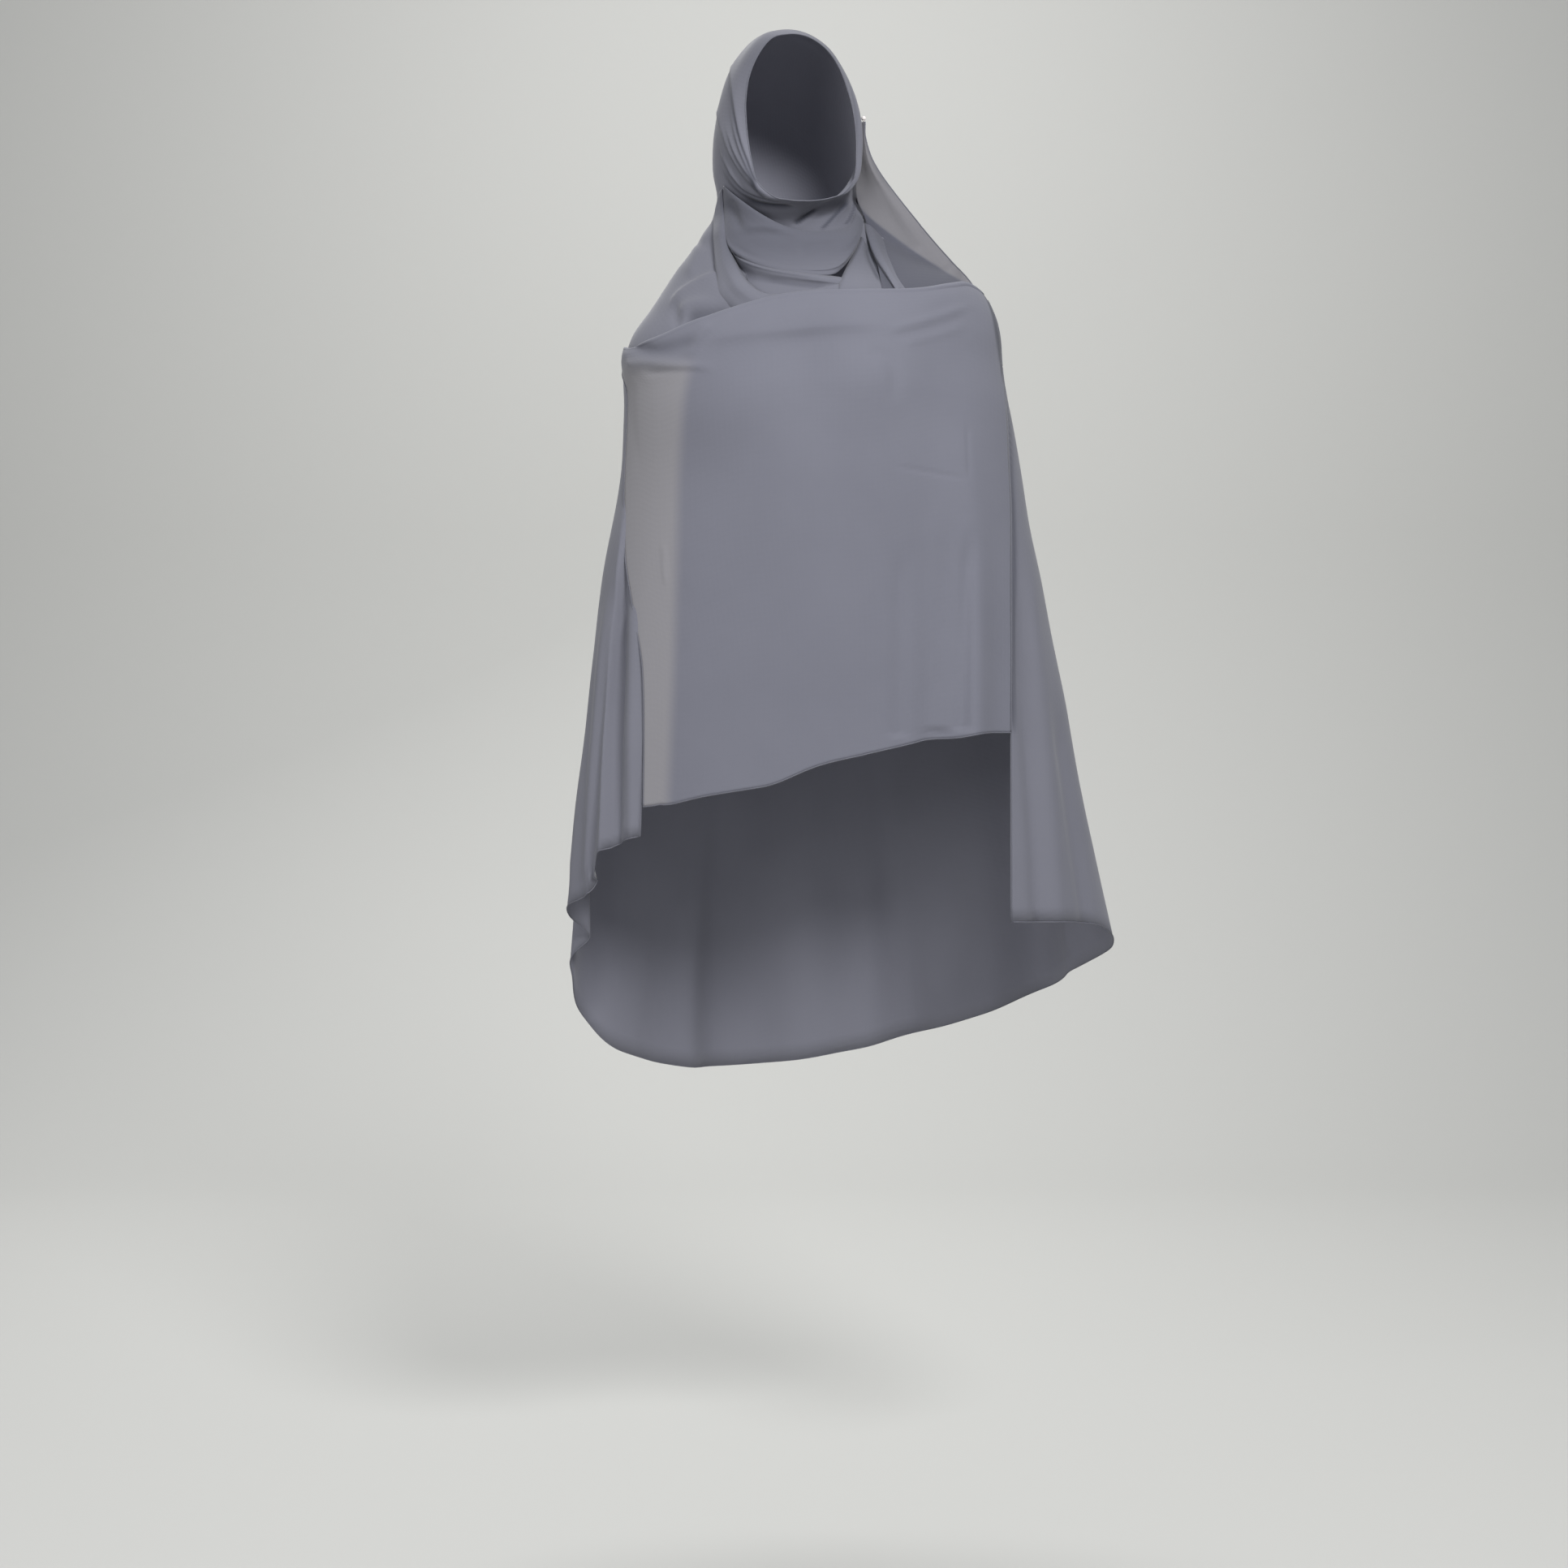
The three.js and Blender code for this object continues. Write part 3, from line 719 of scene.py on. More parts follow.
def bodyForm():
    # The form that the layers lie on: the hood and a drape with no gap in front.
    around = np.linspace(0, 360, formMap["columns"] + 1)[:-1]
    tilt = np.linspace(0, 90, formMap["hoodRings"])
    topDrop = sizes["headDrop"] / sizes["wrapLength"]
    drop = np.linspace(topDrop, formMap["lowest"], formMap["drapeRings"])[1:]
    hood = hoodSurface(around[None, :], tilt[:, None])
    drape = drapeSurface(around[None, :], drop[:, None], 0)
    points = np.concatenate([hood, drape], axis=0)
    quads = ringFaces(np.arange(points[..., 0].size).reshape(points.shape[:2]))
    return BVHTree.FromPolygons(points.reshape(-1, 3).tolist(), quads.tolist())


def makeFormDepth():
    # How far forward that form stands behind each pixel, found by rays from the camera.
    tree = bodyForm()
    eye = Vector((eyeX, -eyeDistance, eyeZ))
    across = np.arange(formMap["left"], formMap["right"] + 1, formMap["step"])
    down = np.arange(formMap["top"], formMap["bottom"] + 1, formMap["step"])
    depth = np.full((len(down), len(across)), np.nan)
    for row, py in enumerate(down):
        for column, px in enumerate(across):
            way = Vector((px - halfSize, eyeDistance, halfSize - py)).normalized()
            hit = tree.ray_cast(eye, way)[0]
            if hit is not None:
                depth[row, column] = hit.y
    # places outside the outline take their neighbours' depth, then all is softened
    for _ in range(formMap["fillRounds"]):
        missing = np.isnan(depth)
        if not missing.any():
            break
        padded = np.pad(depth, 1, constant_values=np.nan)
        around = np.stack([padded[:-2, 1:-1], padded[2:, 1:-1], padded[1:-1, :-2], padded[1:-1, 2:]])
        known = ~np.isnan(around)
        mean = np.where(known, around, 0).sum(axis=0) / np.maximum(known.sum(axis=0), 1)
        depth = np.where(missing & known.any(axis=0), mean, depth)
    depth = np.nan_to_num(depth, nan=0.0)
    for _ in range(formMap["softRounds"]):
        padded = np.pad(depth, 1, mode="edge")
        beside = padded[:-2, 1:-1] + padded[2:, 1:-1] + padded[1:-1, :-2] + padded[1:-1, 2:]
        depth = depth * 0.5 + beside * 0.125
    return depth


formDepth = makeFormDepth()


def depthAt(px, py):
    # The form's depth at any pixel, mixed from the four nearest places of its map.
    across = np.clip((px - formMap["left"]) / formMap["step"], 0, formDepth.shape[1] - 1.001)
    down = np.clip((py - formMap["top"]) / formMap["step"], 0, formDepth.shape[0] - 1.001)
    column = across.astype(int)
    row = down.astype(int)
    partX = across - column
    partY = down - row
    upper = formDepth[row, column] * (1 - partX) + formDepth[row, column + 1] * partX
    lower = formDepth[row + 1, column] * (1 - partX) + formDepth[row + 1, column + 1] * partX
    return upper * (1 - partY) + lower * partY


def fromPhoto(px, py, depth):
    # The place in millimetres that the camera sees at a pixel, at a given depth.
    reach = (eyeDistance + depth) / eyeDistance
    return np.stack([(px - halfSize) * reach + eyeX, depth, (halfSize - py) * reach + eyeZ], axis=-1)


def alongLine(line, count):
    # Even places along a smooth curve through the line's points, all its columns together.
    line = np.array(line, dtype=float)
    step = np.linalg.norm(np.diff(line[:, :2], axis=0), axis=1)
    length = np.concatenate([[0], np.cumsum(step)])
    return through(length, line, np.linspace(0, length[-1], count))


def layLines(lines, columns, rows):
    # Smooth rows through given lines, each line first spread evenly over its length.
    laid = np.stack([alongLine(line, columns) for line in lines])
    at = np.linspace(0, len(lines) - 1, rows)
    base = np.clip(np.floor(at).astype(int), 0, len(lines) - 2)
    part = (at - base)[:, None, None]
    slopes = np.gradient(laid, axis=0)
    return cubic(part, 1, laid[base], laid[base + 1], slopes[base], slopes[base + 1])


def photoSheet(lines, columns, rowsBetween):
    # A sheet over the form: each line gives pixels and how far it stands off the form.
    laid = layLines(lines, columns, (len(lines) - 1) * rowsBetween + 1)
    depth = depthAt(laid[..., 0], laid[..., 1]) - laid[..., 2]
    return fromPhoto(laid[..., 0], laid[..., 1], depth)


# Hood and back drape are one cloth: rings of the hood first, then the open drape below them.
mainCloth = {
    "columns": 300,
    "frontColumns": 34,
    "hoodRings": 84,
    "faceRings": (2.4, 26, 42),
    "leftCheek": (1.6, 0.62, 0.75),
    "rightCheek": (0.4, 0.1, 0.3),
    "drapeRows": 82,
    "shoulderRows": 0.3,
    "rowPower": 2.2,
    "hemFrom": 40,
    "hemSpan": 276,
    "softRows": 6,
    "softAbove": 8,
    "softBelow": 6,
    "waveSize": 150,
    "waveDepth": 0.8,
    "waveSeed": 11,
    # share of painted light for cloth in one layer, the same all over this cloth
    "singleLightShare": 0.08,
    "chinShade": 0.34,
    "chinTop": (240, 250),
    "chinFoot": (320, 350),
    "chinLeft": (895, 912),
    "chinRight": (1056, 1064),
    "crownShade": 0.27,
    "crownFoot": (66, 118),
    "slopeShade": 0.22,
    "slopeTop": (256, 296),
    "slopeFoot": (372, 412),
    "creaseDeepens": 0.4,
}

# Lines run downwards where the viewer's left lies on top, upwards where the right does.
hoodCreases = [
    lap(2.6, 1.5, [(938, 233), (930, 217), (923, 199), (916, 180), (910.5, 160), (906.5, 138), (904, 118),
        (902, 95), (902, 76), (910, 56)], long=8, shade=0.62, fadeIn=0.1, fadeOut=0.3),
    lap(1.4, 1.4, [(942, 238), (933, 229), (925, 214), (918, 199), (911, 182), (905, 163), (901, 142),
        (899, 120)], long=4, shade=0.5, fadeIn=0.1, fadeOut=0.5),
    lap(1.6, 1.4, [(948, 240), (935, 231), (924, 217), (914, 202), (905, 186), (898, 168), (893, 148)],
        long=4, shade=0.5, fadeIn=0.1, fadeOut=0.4),
    lap(2.2, 1.5, [(956, 243), (940, 237), (927, 226), (915, 212), (905, 197), (897, 182), (891, 165),
        (886, 147), (884, 126), (888, 106)], long=5, shade=0.6, fadeIn=0.1, fadeOut=0.25),
    lap(3, 1.6, [(972, 246), (950, 243), (932, 239), (917, 231), (906, 219), (897, 205), (890.5, 192),
        (887, 178)], long=5, shade=0.75, fadeIn=0.15, fadeOut=0.25),
    lap(3, 2, [(990, 251), (960, 250), (936, 246), (918, 238), (905, 227), (896, 214), (889, 200)],
        long=6, shade=0.7, fadeIn=0.3, fadeOut=0.25),
    crease(-5, 4, [(912, 243), (932, 251), (958, 255), (988, 257)], shade=0.75),
    crease(-4, 3, [(976, 279), (992, 268), (1012, 255)], shade=0.85),
    lap(4, 2.5, [(1014, 286), (1026, 272), (1038, 258), (1050, 243)], long=12, shade=0.9, fadeIn=0.05),
    lap(4, 1.8, [(1042, 281), (1048, 270), (1052, 258), (1054, 246)], long=8, shade=0.8, fadeIn=0.05),
    crease(-0.8, 1.6, [(1002, 44), (1024, 60), (1041, 90), (1051, 124), (1056, 160), (1056, 200)],
        shade=0.25),
]

# Long falls at both sides: the fold lines of the left fall and the soft bends of the right.
fallCreases = [
    lap(13, 2, [(772, 560), (773, 640), (769, 718), (764, 770), (758, 850), (754, 930), (751, 1010),
        (748, 1085)], long=24, fadeIn=0.3, fadeOut=0.01),
    crease(5, 6, [(764, 690), (752, 780), (741, 880), (733, 980), (724, 1106)], fadeIn=0.4, fadeOut=0.01),
    crease(6, 8, [(784, 700), (782, 800), (780, 900), (779, 1040)], fadeOut=0.01),
    crease(-6, 5, [(770, 700), (767, 800), (763, 900), (760, 1050)], fadeOut=0.01),
    crease(5, 12, [(1262, 640), (1275, 780), (1290, 930), (1305, 1150)], fadeOut=0.01),
    crease(-5, 8, [(1255, 700), (1262, 850), (1272, 1000), (1280, 1146)], fadeOut=0.01),
    crease(-6, 9, [(1300, 860), (1320, 1000), (1340, 1152)], fadeOut=0.01),
]

shoulderCreases = [
    lap(5, 4, [(822, 380), (834, 366), (850, 354), (868, 344), (888, 335)],
        long=15, shade=0.12, fadeIn=0.35, fadeOut=0.1),
    crease(-2, 8, [(880, 322), (888, 344), (898, 364)], shade=0.3),
    crease(5, 7, [(834, 391), (848, 380), (868, 374), (894, 374)], fadeOut=0.5),
    crease(-9, 4.5, [(842, 397), (858, 390), (882, 385), (906, 379)], shade=0.8, fadeOut=0.35),
    crease(-2.5, 5, [(832, 374), (833, 388), (840, 404)], shade=0.15),
    crease(-1.5, 6, [(881, 262), (875, 296), (880, 334)], shade=0.12),
    crease(-1, 7, [(1024, 338), (1038, 333), (1048, 323), (1058, 308)],
        shade=0.95, fadeIn=0.05, fadeOut=0.1),
    crease(-1, 5, [(1064, 300), (1074, 320), (1090, 350)], shade=0.8, fadeOut=0.1),
    crease(-1, 3, [(1240, 480), (1244, 540), (1249, 645), (1250, 770), (1250, 896)],
        shade=0.7, fadeIn=0.1, fadeOut=0.02),
    crease(2.4, 8, [(862, 300), (856, 320), (845, 342)]),
]

# Folds seen from behind: soft loops from shoulder to shoulder and gathers that fan down the back.
backFolds = {
    "middle": 182,
    "facing": (-0.1, 0.6),
    "loops": 5,
    "loopTop": 0.165,
    "loopDrop": 0.055,
    "loopSag": 0.05,
    "loopSagGrowth": 0.35,
    "loopSlant": 0.03,
    "loopAside": 0.25,
    "loopReach": (0.6, 0.95),
    "loopEnds": 0.45,
    "loopTail": 0.5,
    "loopWide": (0.01, 0.003),
    "loopDepth": 7,
    "loopStrength": (0.6, 1),
    "loopFade": 0.85,
    "loopSeed": 4,
    "gathers": 14,
    "gatherFrom": 70,
    "gatherSpan": 230,
    "gatherAside": 0.3,
    "gatherWide": (4, 8),
    "gatherStart": (0.3, 0.6),
    "gatherDepth": 13.2,
    "gatherStrength": (0.4, 1),
    "gatherTurns": (5, 9),
    "gatherSway": 3,
    "gatherSeed": 21,
}


def backLift(points, around):
    # A loop is a ridge along a sagging curve, steep above and long below, and a gather is a bell
    # across a line that runs down the back.
    settings = backFolds
    facing = smooth(np.cos(np.radians(around - 180)), *settings["facing"])
    beside = (around - settings["middle"]) / 90
    height = -points[..., 2] / sizes["wrapLength"]
    total = np.zeros(points.shape[:2])
    dice = np.random.default_rng(settings["loopSeed"])
    for order in range(settings["loops"]):
        # each loop hangs lower at the middle of the back than at the shoulders, and none is level
        slant = dice.uniform(-settings["loopSlant"], settings["loopSlant"])
        middle = dice.uniform(-settings["loopAside"], settings["loopAside"])
        line = settings["loopTop"] + order * settings["loopDrop"] + slant * beside
        growth = 1 + settings["loopSagGrowth"] * order
        line = line + settings["loopSag"] * (1 - (beside - middle) ** 2) * growth
        wide = settings["loopWide"][0] + settings["loopWide"][1] * order
        strength = settings["loopDepth"] * (settings["loopFade"] ** order)
        strength = strength * dice.uniform(*settings["loopStrength"])
        away = (height - line) / wide
        form = np.where(away > 0, np.exp(-away * settings["loopTail"]), np.exp(-away * away))
        reach = dice.uniform(*settings["loopReach"])
        ends = smooth(np.abs(beside - middle * 0.5), reach - settings["loopEnds"], reach)
        total += strength * form * (1 - ends)
    dice = np.random.default_rng(settings["gatherSeed"])
    for order in range(settings["gathers"]):
        # gathers stand out and in by turns, sway on their way down and grow towards the hem
        aside = dice.uniform(-settings["gatherAside"], settings["gatherAside"])
        place = (order + 0.5 + aside) / settings["gathers"]
        middle = settings["gatherFrom"] + settings["gatherSpan"] * place
        wide = dice.uniform(*settings["gatherWide"])
        start = dice.uniform(*settings["gatherStart"])
        depth = settings["gatherDepth"] * dice.uniform(*settings["gatherStrength"]) * (1 if order % 2 else -1)
        swing = height * dice.uniform(*settings["gatherTurns"]) + dice.uniform(0, 6)
        sway = settings["gatherSway"] * np.sin(swing)
        total += depth * np.exp(-(((around - middle - sway) / wide) ** 2)) * smooth(height, start, 1.0)
    return total * facing


def spread(places, density, count):
    # Places that stand closer where the density is higher.
    filled = np.concatenate([[0], np.cumsum((density[1:] + density[:-1]) / 2)])
    return np.interp(np.linspace(0, 1, count), filled / filled[-1], places)


def edgeAround(side, drop):
    # The angle at which one front edge of the drape stands.
    way = 1 if side == "right" else -1
    return aroundAt(way * valueAt(edgeRows, "drop", side, drop) * sizes["hemWidth"], drop)


def clothShade(points, normals, shade, settings):
    # Painted shade: the throat is painted darker, as if in the hood's shade, and the crown and the
    # slopes of the shoulders are painted darker, as if the light came more from above.
    px, py = photoPlace(points)
    facing = facingCamera(normals)
    throat = smooth(py, *settings["chinTop"]) * (1 - smooth(py, *settings["chinFoot"]))
    throat = throat * smooth(px, *settings["chinLeft"]) * (1 - smooth(px, *settings["chinRight"]))
    throat = throat * facing * settings["chinShade"]
    shade = np.clip(np.maximum(shade, throat) + settings["creaseDeepens"] * shade * throat, 0, 1)
    crown = settings["crownShade"] * (1 - smooth(py, *settings["crownFoot"]))
    slope = settings["slopeShade"] * smooth(py, *settings["slopeTop"])
    slope = slope * (1 - smooth(py, *settings["slopeFoot"]))
    return np.maximum(shade, (crown + slope) * facing)


def makeMainCloth():
    settings = mainCloth
    topDrop = sizes["headDrop"] / sizes["wrapLength"]
    behindColumns = settings["columns"] - settings["frontColumns"]
    rightTop = float(edgeAround("right", topDrop))
    leftTop = float(edgeAround("left", topDrop))
    # columns stand closer on the left cheek, where the pleats are
    even = np.linspace(0, 1, 2001)
    more, *cheek = settings["leftCheek"]
    density = 1 + more * smooth(even, *cheek)
    more, *cheek = settings["rightCheek"]
    density = density + more * (1 - smooth(even, *cheek))
    share = spread(even, density, behindColumns + 1)
    frontShare = np.linspace(0, 1, settings["frontColumns"] + 1)[1:-1]
    behind = rightTop + (360 + leftTop - rightTop) * share
    infront = 360 + leftTop + (rightTop - leftTop) * frontShare
    around = np.concatenate([behind, infront])
    # rings stand closer near the face
    even = np.linspace(0, 90, 901)
    more, *face = settings["faceRings"]
    tilt = spread(even, 1 + more * (1 - smooth(even, *face)), settings["hoodRings"])
    hood = hoodSurface(around[None, :], tilt[:, None])
    # rows stand closer over the shoulders, where the small folds are
    part = (np.arange(1, settings["drapeRows"] + 1) / settings["drapeRows"])[:, None]
    down = settings["shoulderRows"] * part + (1 - settings["shoulderRows"]) * part ** settings["rowPower"]
    hem = valueAt(hemRows, "around", "drop", settings["hemFrom"] + settings["hemSpan"] * share)[None, :]
    drop = topDrop + (hem - topDrop) * down
    right = edgeAround("right", drop)
    drapeAround = right + (360 + edgeAround("left", drop) - right) * share[None, :]
    drape = drapeSurface(drapeAround, drop, 0)
    # the front columns go on below the hood only to keep the grid whole, and get no faces there
    filler = np.repeat(hood[-1:, behindColumns + 1 :], settings["drapeRows"], axis=0)
    grid = np.concatenate([hood, np.concatenate([drape, filler], axis=1)], axis=0)
    # the hood bends softly into the drape: rows near the join are averaged up and down
    seam = settings["hoodRings"]
    first, last = seam - settings["softAbove"], seam + settings["softBelow"]
    for _ in range(settings["softRows"]):
        beside = grid[first - 1 : last - 1] + grid[first + 1 : last + 1]
        grid[first:last] = grid[first:last] * 0.5 + beside * 0.25
    drapeAround = np.concatenate([drapeAround, filler[..., 0] * 0], axis=1)
    fullAround = np.concatenate([np.repeat(around[None], seam, axis=0), drapeAround], axis=0)
    normals = gridNormals(grid, closed=True)
    grid = grid + normals * backLift(grid, fullAround)[..., None]
    lift, shade = creaseLift(grid, normals, hoodCreases + fallCreases + shoulderCreases)
    shade = clothShade(grid, normals, shade, settings)
    grid = grid + normals * lift[..., None]
    grid = grid + normals * waves(grid, settings)[..., None]
    keep = np.ones((grid.shape[0] - 1, grid.shape[1]), dtype=bool)
    keep[seam - 1 :, behindColumns:] = False
    piece = layMesh("main_cloth", grid, settings["singleLightShare"], shade, closed=True, keep=keep)
    finishCloth(piece, chiffon)
    leftEdge = grid[seam:, behindColumns][::-1]
    drapeEdge = np.concatenate([grid[seam:, 0], grid[-1, 1 : behindColumns + 1], leftEdge[1:]], axis=0)
    return piece, grid[0], drapeEdge


mainPiece, faceEdge, drapeEdge = makeMainCloth()
print("main cloth laid")

# Chest panel: rolled top from shoulder to shoulder, straight hem and two side edges.
chestPanel = {
    "doubleEdge": [(884, 388), (866, 412), (857, 434), (850, 455), (842, 500), (836, 600), (831, 800),
                   (822, 1010)],
    "doubleTop": (432, 466),
    "doubleSoft": 10,
    "singleLightShare": 0.85,
    "hemTurn": 9,
    "hemTurnFoot": (0.1, 0.28),
    "hemEdge": (0.5, 1),
    "hemShade": 2.2,
    "hemShadeStrength": 0.9,
    "topFrom": -88,
    "topSpan": 166,
    "cornerWrap": 14,
    "cornerWrapWide": 0.1,
    "cornerWide": 0.05,
    "cornerFoot": (0.15, 0.35),
    "cornerDrop": 0.0125,
    "cornerAround": -55,
    "cornerSpread": 22,
    "cornerLift": 0.35,
    "leastRoll": 0.12,
    "rollFoot": 0.5,
    "settleFoot": 0.15,
    "rowPower": 1.15,
    "columns": 200,
    "rows": 190,
    "rollRows": 20,
    "hemStart": 24,
    "waveSize": 210,
    "waveDepth": 1.1,
    "waveSeed": 5,
}

panelCreases = [
    crease(1.5, 6, [(1085, 408), (1140, 394), (1205, 374)]),
    crease(-0.8, 6, [(1085, 418), (1140, 406), (1198, 388)]),
    crease(0.9, 6, [(1105, 426), (1150, 414), (1196, 400)]),
    lap(3, 8, [(1120, 398), (1040, 399), (970, 406), (900, 413), (860, 424)], long=22, shade=0.1),
    crease(-4.5, 8, [(770, 421), (790, 429), (812, 431), (840, 424), (866, 414)], shade=0.22, fadeIn=0.05),
    crease(2.6, 7, [(768, 450), (800, 447), (840, 451), (890, 453)], fadeIn=0.1),
    crease(-1.4, 4, [(790, 461), (830, 457), (880, 458)], shade=0.06),
    lap(2.4, 2.5, [(880, 397), (867, 412), (858, 429), (851, 448)], long=14, shade=0.1),
    crease(-2, 9, [(1064, 430), (1088, 436), (1102, 456), (1106, 500)]),
    crease(-0.9, 2.5, [(1192, 516), (1193, 556), (1195, 596)]),
    crease(-0.9, 2.5, [(1100, 574), (1148, 582), (1198, 591)]),
    crease(0.9, 3, [(818, 664), (819, 695), (820, 724)]),
    crease(3, 16, [(1152, 600), (1154, 740), (1156, 900)], fadeOut=0.01),
    crease(-4, 10, [(1196, 640), (1190, 760), (1186, 900)], fadeOut=0.01),
    crease(-2.5, 12, [(1110, 660), (1110, 780), (1108, 908)], fadeOut=0.01),
]


def makeChestPanel():
    settings = chestPanel
    rollRows = settings["rollRows"]
    across = np.linspace(0, 1, settings["columns"] + 1)[None, :]
    step = np.arange(settings["rows"] + 1, dtype=float)[:, None]
    down = np.maximum(step - rollRows, 0) / (settings["rows"] - rollRows)
    left = valueAt(panelEdgeRows, "down", "left", down) * sizes["hemWidth"]
    right = valueAt(panelEdgeRows, "down", "right", down) * sizes["hemWidth"]
    x = -left + (left + right) * across
    # the left corner is drawn round behind the shoulder
    topAround = settings["topFrom"] + settings["topSpan"] * across
    topAround = topAround - settings["cornerWrap"] * (1 - smooth(across, 0, settings["cornerWrapWide"]))
    topDrop = valueAt(panelTopRows, "around", "drop", topAround)
    roll = valueAt(panelTopRows, "around", "roll", topAround)
    length = valueAt(panelHemRows, "across", "length", across) * sizes["panelLength"]
    # the top dips near that corner, and the hem keeps its height
    away = (topAround - settings["cornerAround"]) / settings["cornerSpread"]
    length = length - settings["cornerDrop"] * np.exp(-(away**2)) * sizes["wrapLength"]
    drop = topDrop + (sizes["rollRadius"] + length * down ** settings["rowPower"]) / sizes["wrapLength"]
    settle = smooth(down, 0, settings["settleFoot"])
    around = topAround * (1 - settle) + aroundAt(x, drop) * settle
    wholeLift = sizes["clothWall"] + sizes["seatGap"] + sizes["swagDepth"] + sizes["rollRadius"]
    fade = 1 - smooth(down, 0, settings["rollFoot"])
    lift = sizes["panelLift"] + (wholeLift - sizes["panelLift"]) * roll * fade
    cornered = np.maximum(smooth(across, 0, settings["cornerWide"]), smooth(down, *settings["cornerFoot"]))
    lift = lift * (settings["cornerLift"] + (1 - settings["cornerLift"]) * cornered)
    for form in panelForms:
        beside = (across - form["across"]) / form["wide"]
        below = (down - form["down"]) / form["tall"]
        lift = lift + form["depth"] * sizes["bodyDepth"] * np.exp(-beside * beside - below * below)
    sweep = math.pi * np.maximum(roll, settings["leastRoll"]) * (1 - np.minimum(step / rollRows, 1))
    points = drapeSurface(around, drop, lift - sizes["rollRadius"] * (1 - np.cos(sweep)))
    points[..., 2] += sizes["rollRadius"] * np.sin(sweep)
    normals = gridNormals(points)
    lift, shade = creaseLift(points, normals, panelCreases)
    points = points + normals * lift[..., None]
    points = points + normals * waves(points, settings)[..., None]
    # painted light: left of the doubled edge and below its top the panel lies in one layer and is painted
    # lighter
    px, py = photoPlace(points)
    beyond = awayFrom(curveThrough(settings["doubleEdge"]), px, py)[0]
    soft = settings["doubleSoft"]
    singleLight = smooth(beyond, -soft, soft) * smooth(py, *settings["doubleTop"])
    # painted shade: a dark band along the right edge, widest near the top, where the rolled hem turns away
    # from the light
    dark = settings["hemTurn"] * (1 - smooth(down, *settings["hemTurnFoot"])) + settings["hemShade"]
    beside = (1 - across) * (left + right)
    shade = np.maximum(shade, settings["hemShadeStrength"] * (1 - smooth(beside / dark, *settings["hemEdge"])))
    piece = layMesh("chest_panel_cloth", points, singleLight * settings["singleLightShare"], shade)
    finishCloth(piece, chiffon)
    start = settings["hemStart"]
    edge = np.concatenate([points[start:, 0], points[-1, 1:], points[start:, -1][::-1][1:]], axis=0)
    return piece, edge


panelPiece, panelEdge = makeChestPanel()
print("chest panel laid")

# Neck layers, each traced over the form: pixels across and down, and millimetres off the form.
neckCloth = {
    "columns": 150,
    "between": 12,
    "waveSize": 55,
    "waveDepth": 0.35,
    # share of painted light for cloth in one layer, the same all over these layers
    "singleLightShare": 0.05,
    "chinShade": 0.54,
    "chinFade": 0.8,
    "chinLeft": (870, 900),
    "chinFoot": (300, 350),
}

upperCowlLines = [
    [(897, 236, -6), (915, 262, 2), (940, 280, 8), (980, 296, 12), (1020, 298, 12), (1048, 284, 6),
     (1056, 262, 0), (1055, 246, -6)],
    [(894, 232, 1), (910, 252, 8), (936, 272, 13), (978, 290, 18), (1020, 292, 18), (1050, 280, 12),
     (1058, 260, 6), (1056, 242, 1)],
    [(892, 229, 4), (906, 241, 12), (935, 262, 18), (976, 281, 24), (1016, 284, 25), (1045, 278, 18),
     (1056, 258, 10), (1056, 238, 4)],
    [(891, 230, 5), (903, 248, 15), (933, 270, 23), (975, 288, 28), (1016, 292, 29), (1048, 284, 23),
     (1060, 260, 13), (1058, 238, 5)],
    [(891, 232, 4), (899, 262, 15), (925, 285, 24), (970, 300, 26), (1014, 306, 27), (1048, 296, 23),
     (1062, 266, 14), (1059, 239, 4)],
    [(891, 234, 4), (896, 272, 14), (914, 296, 22), (958, 312, 23), (1010, 319, 23), (1045, 308, 21),
     (1063, 272, 13), (1060, 240, 4)],
    [(891, 236, 3), (894, 280, 13), (906, 304, 20), (948, 321, 23), (1008, 331, 23), (1041, 321, 20),
     (1063, 280, 12), (1061, 241, 3)],
    [(891, 237, 3), (893, 285, 12), (902, 307, 19), (943, 325, 22), (1003, 334, 21), (1036, 328, 17),
     (1062, 288, 11), (1061, 242, 3)],
    [(891, 238, 1), (893, 287, 8), (903, 311, 14), (944, 330, 17), (1003, 339, 16), (1033, 335, 11),
     (1060, 292, 7), (1061, 243, 1)],
    [(893, 238, -3), (895, 286, 2), (905, 311, 6), (946, 328, 9), (1003, 337, 8), (1031, 333, 4),
     (1058, 288, 1), (1060, 242, -3)],
]

innerSwagLines = [
    [(899, 300, 6), (908, 313, 12), (940, 326, 15), (985, 334, 15), (1014, 338, 13), (1040, 342, 8)],
    [(898, 303, 8), (906, 316, 15), (938, 329, 21), (984, 337, 22), (1014, 341, 19), (1039, 345, 12)],
    [(899, 307, 6), (908, 321, 11), (940, 334, 17), (984, 342, 18), (1015, 346, 16), (1038, 349, 10)],
    [(900, 313, 2), (914, 334, 2), (943, 346, 6), (985, 350, 10), (1016, 352, 10), (1037, 353, 8)],
    [(901, 320, 2), (920, 350, 0), (950, 366, 2), (990, 368, 4), (1020, 366, 6), (1038, 366, 6)],
]

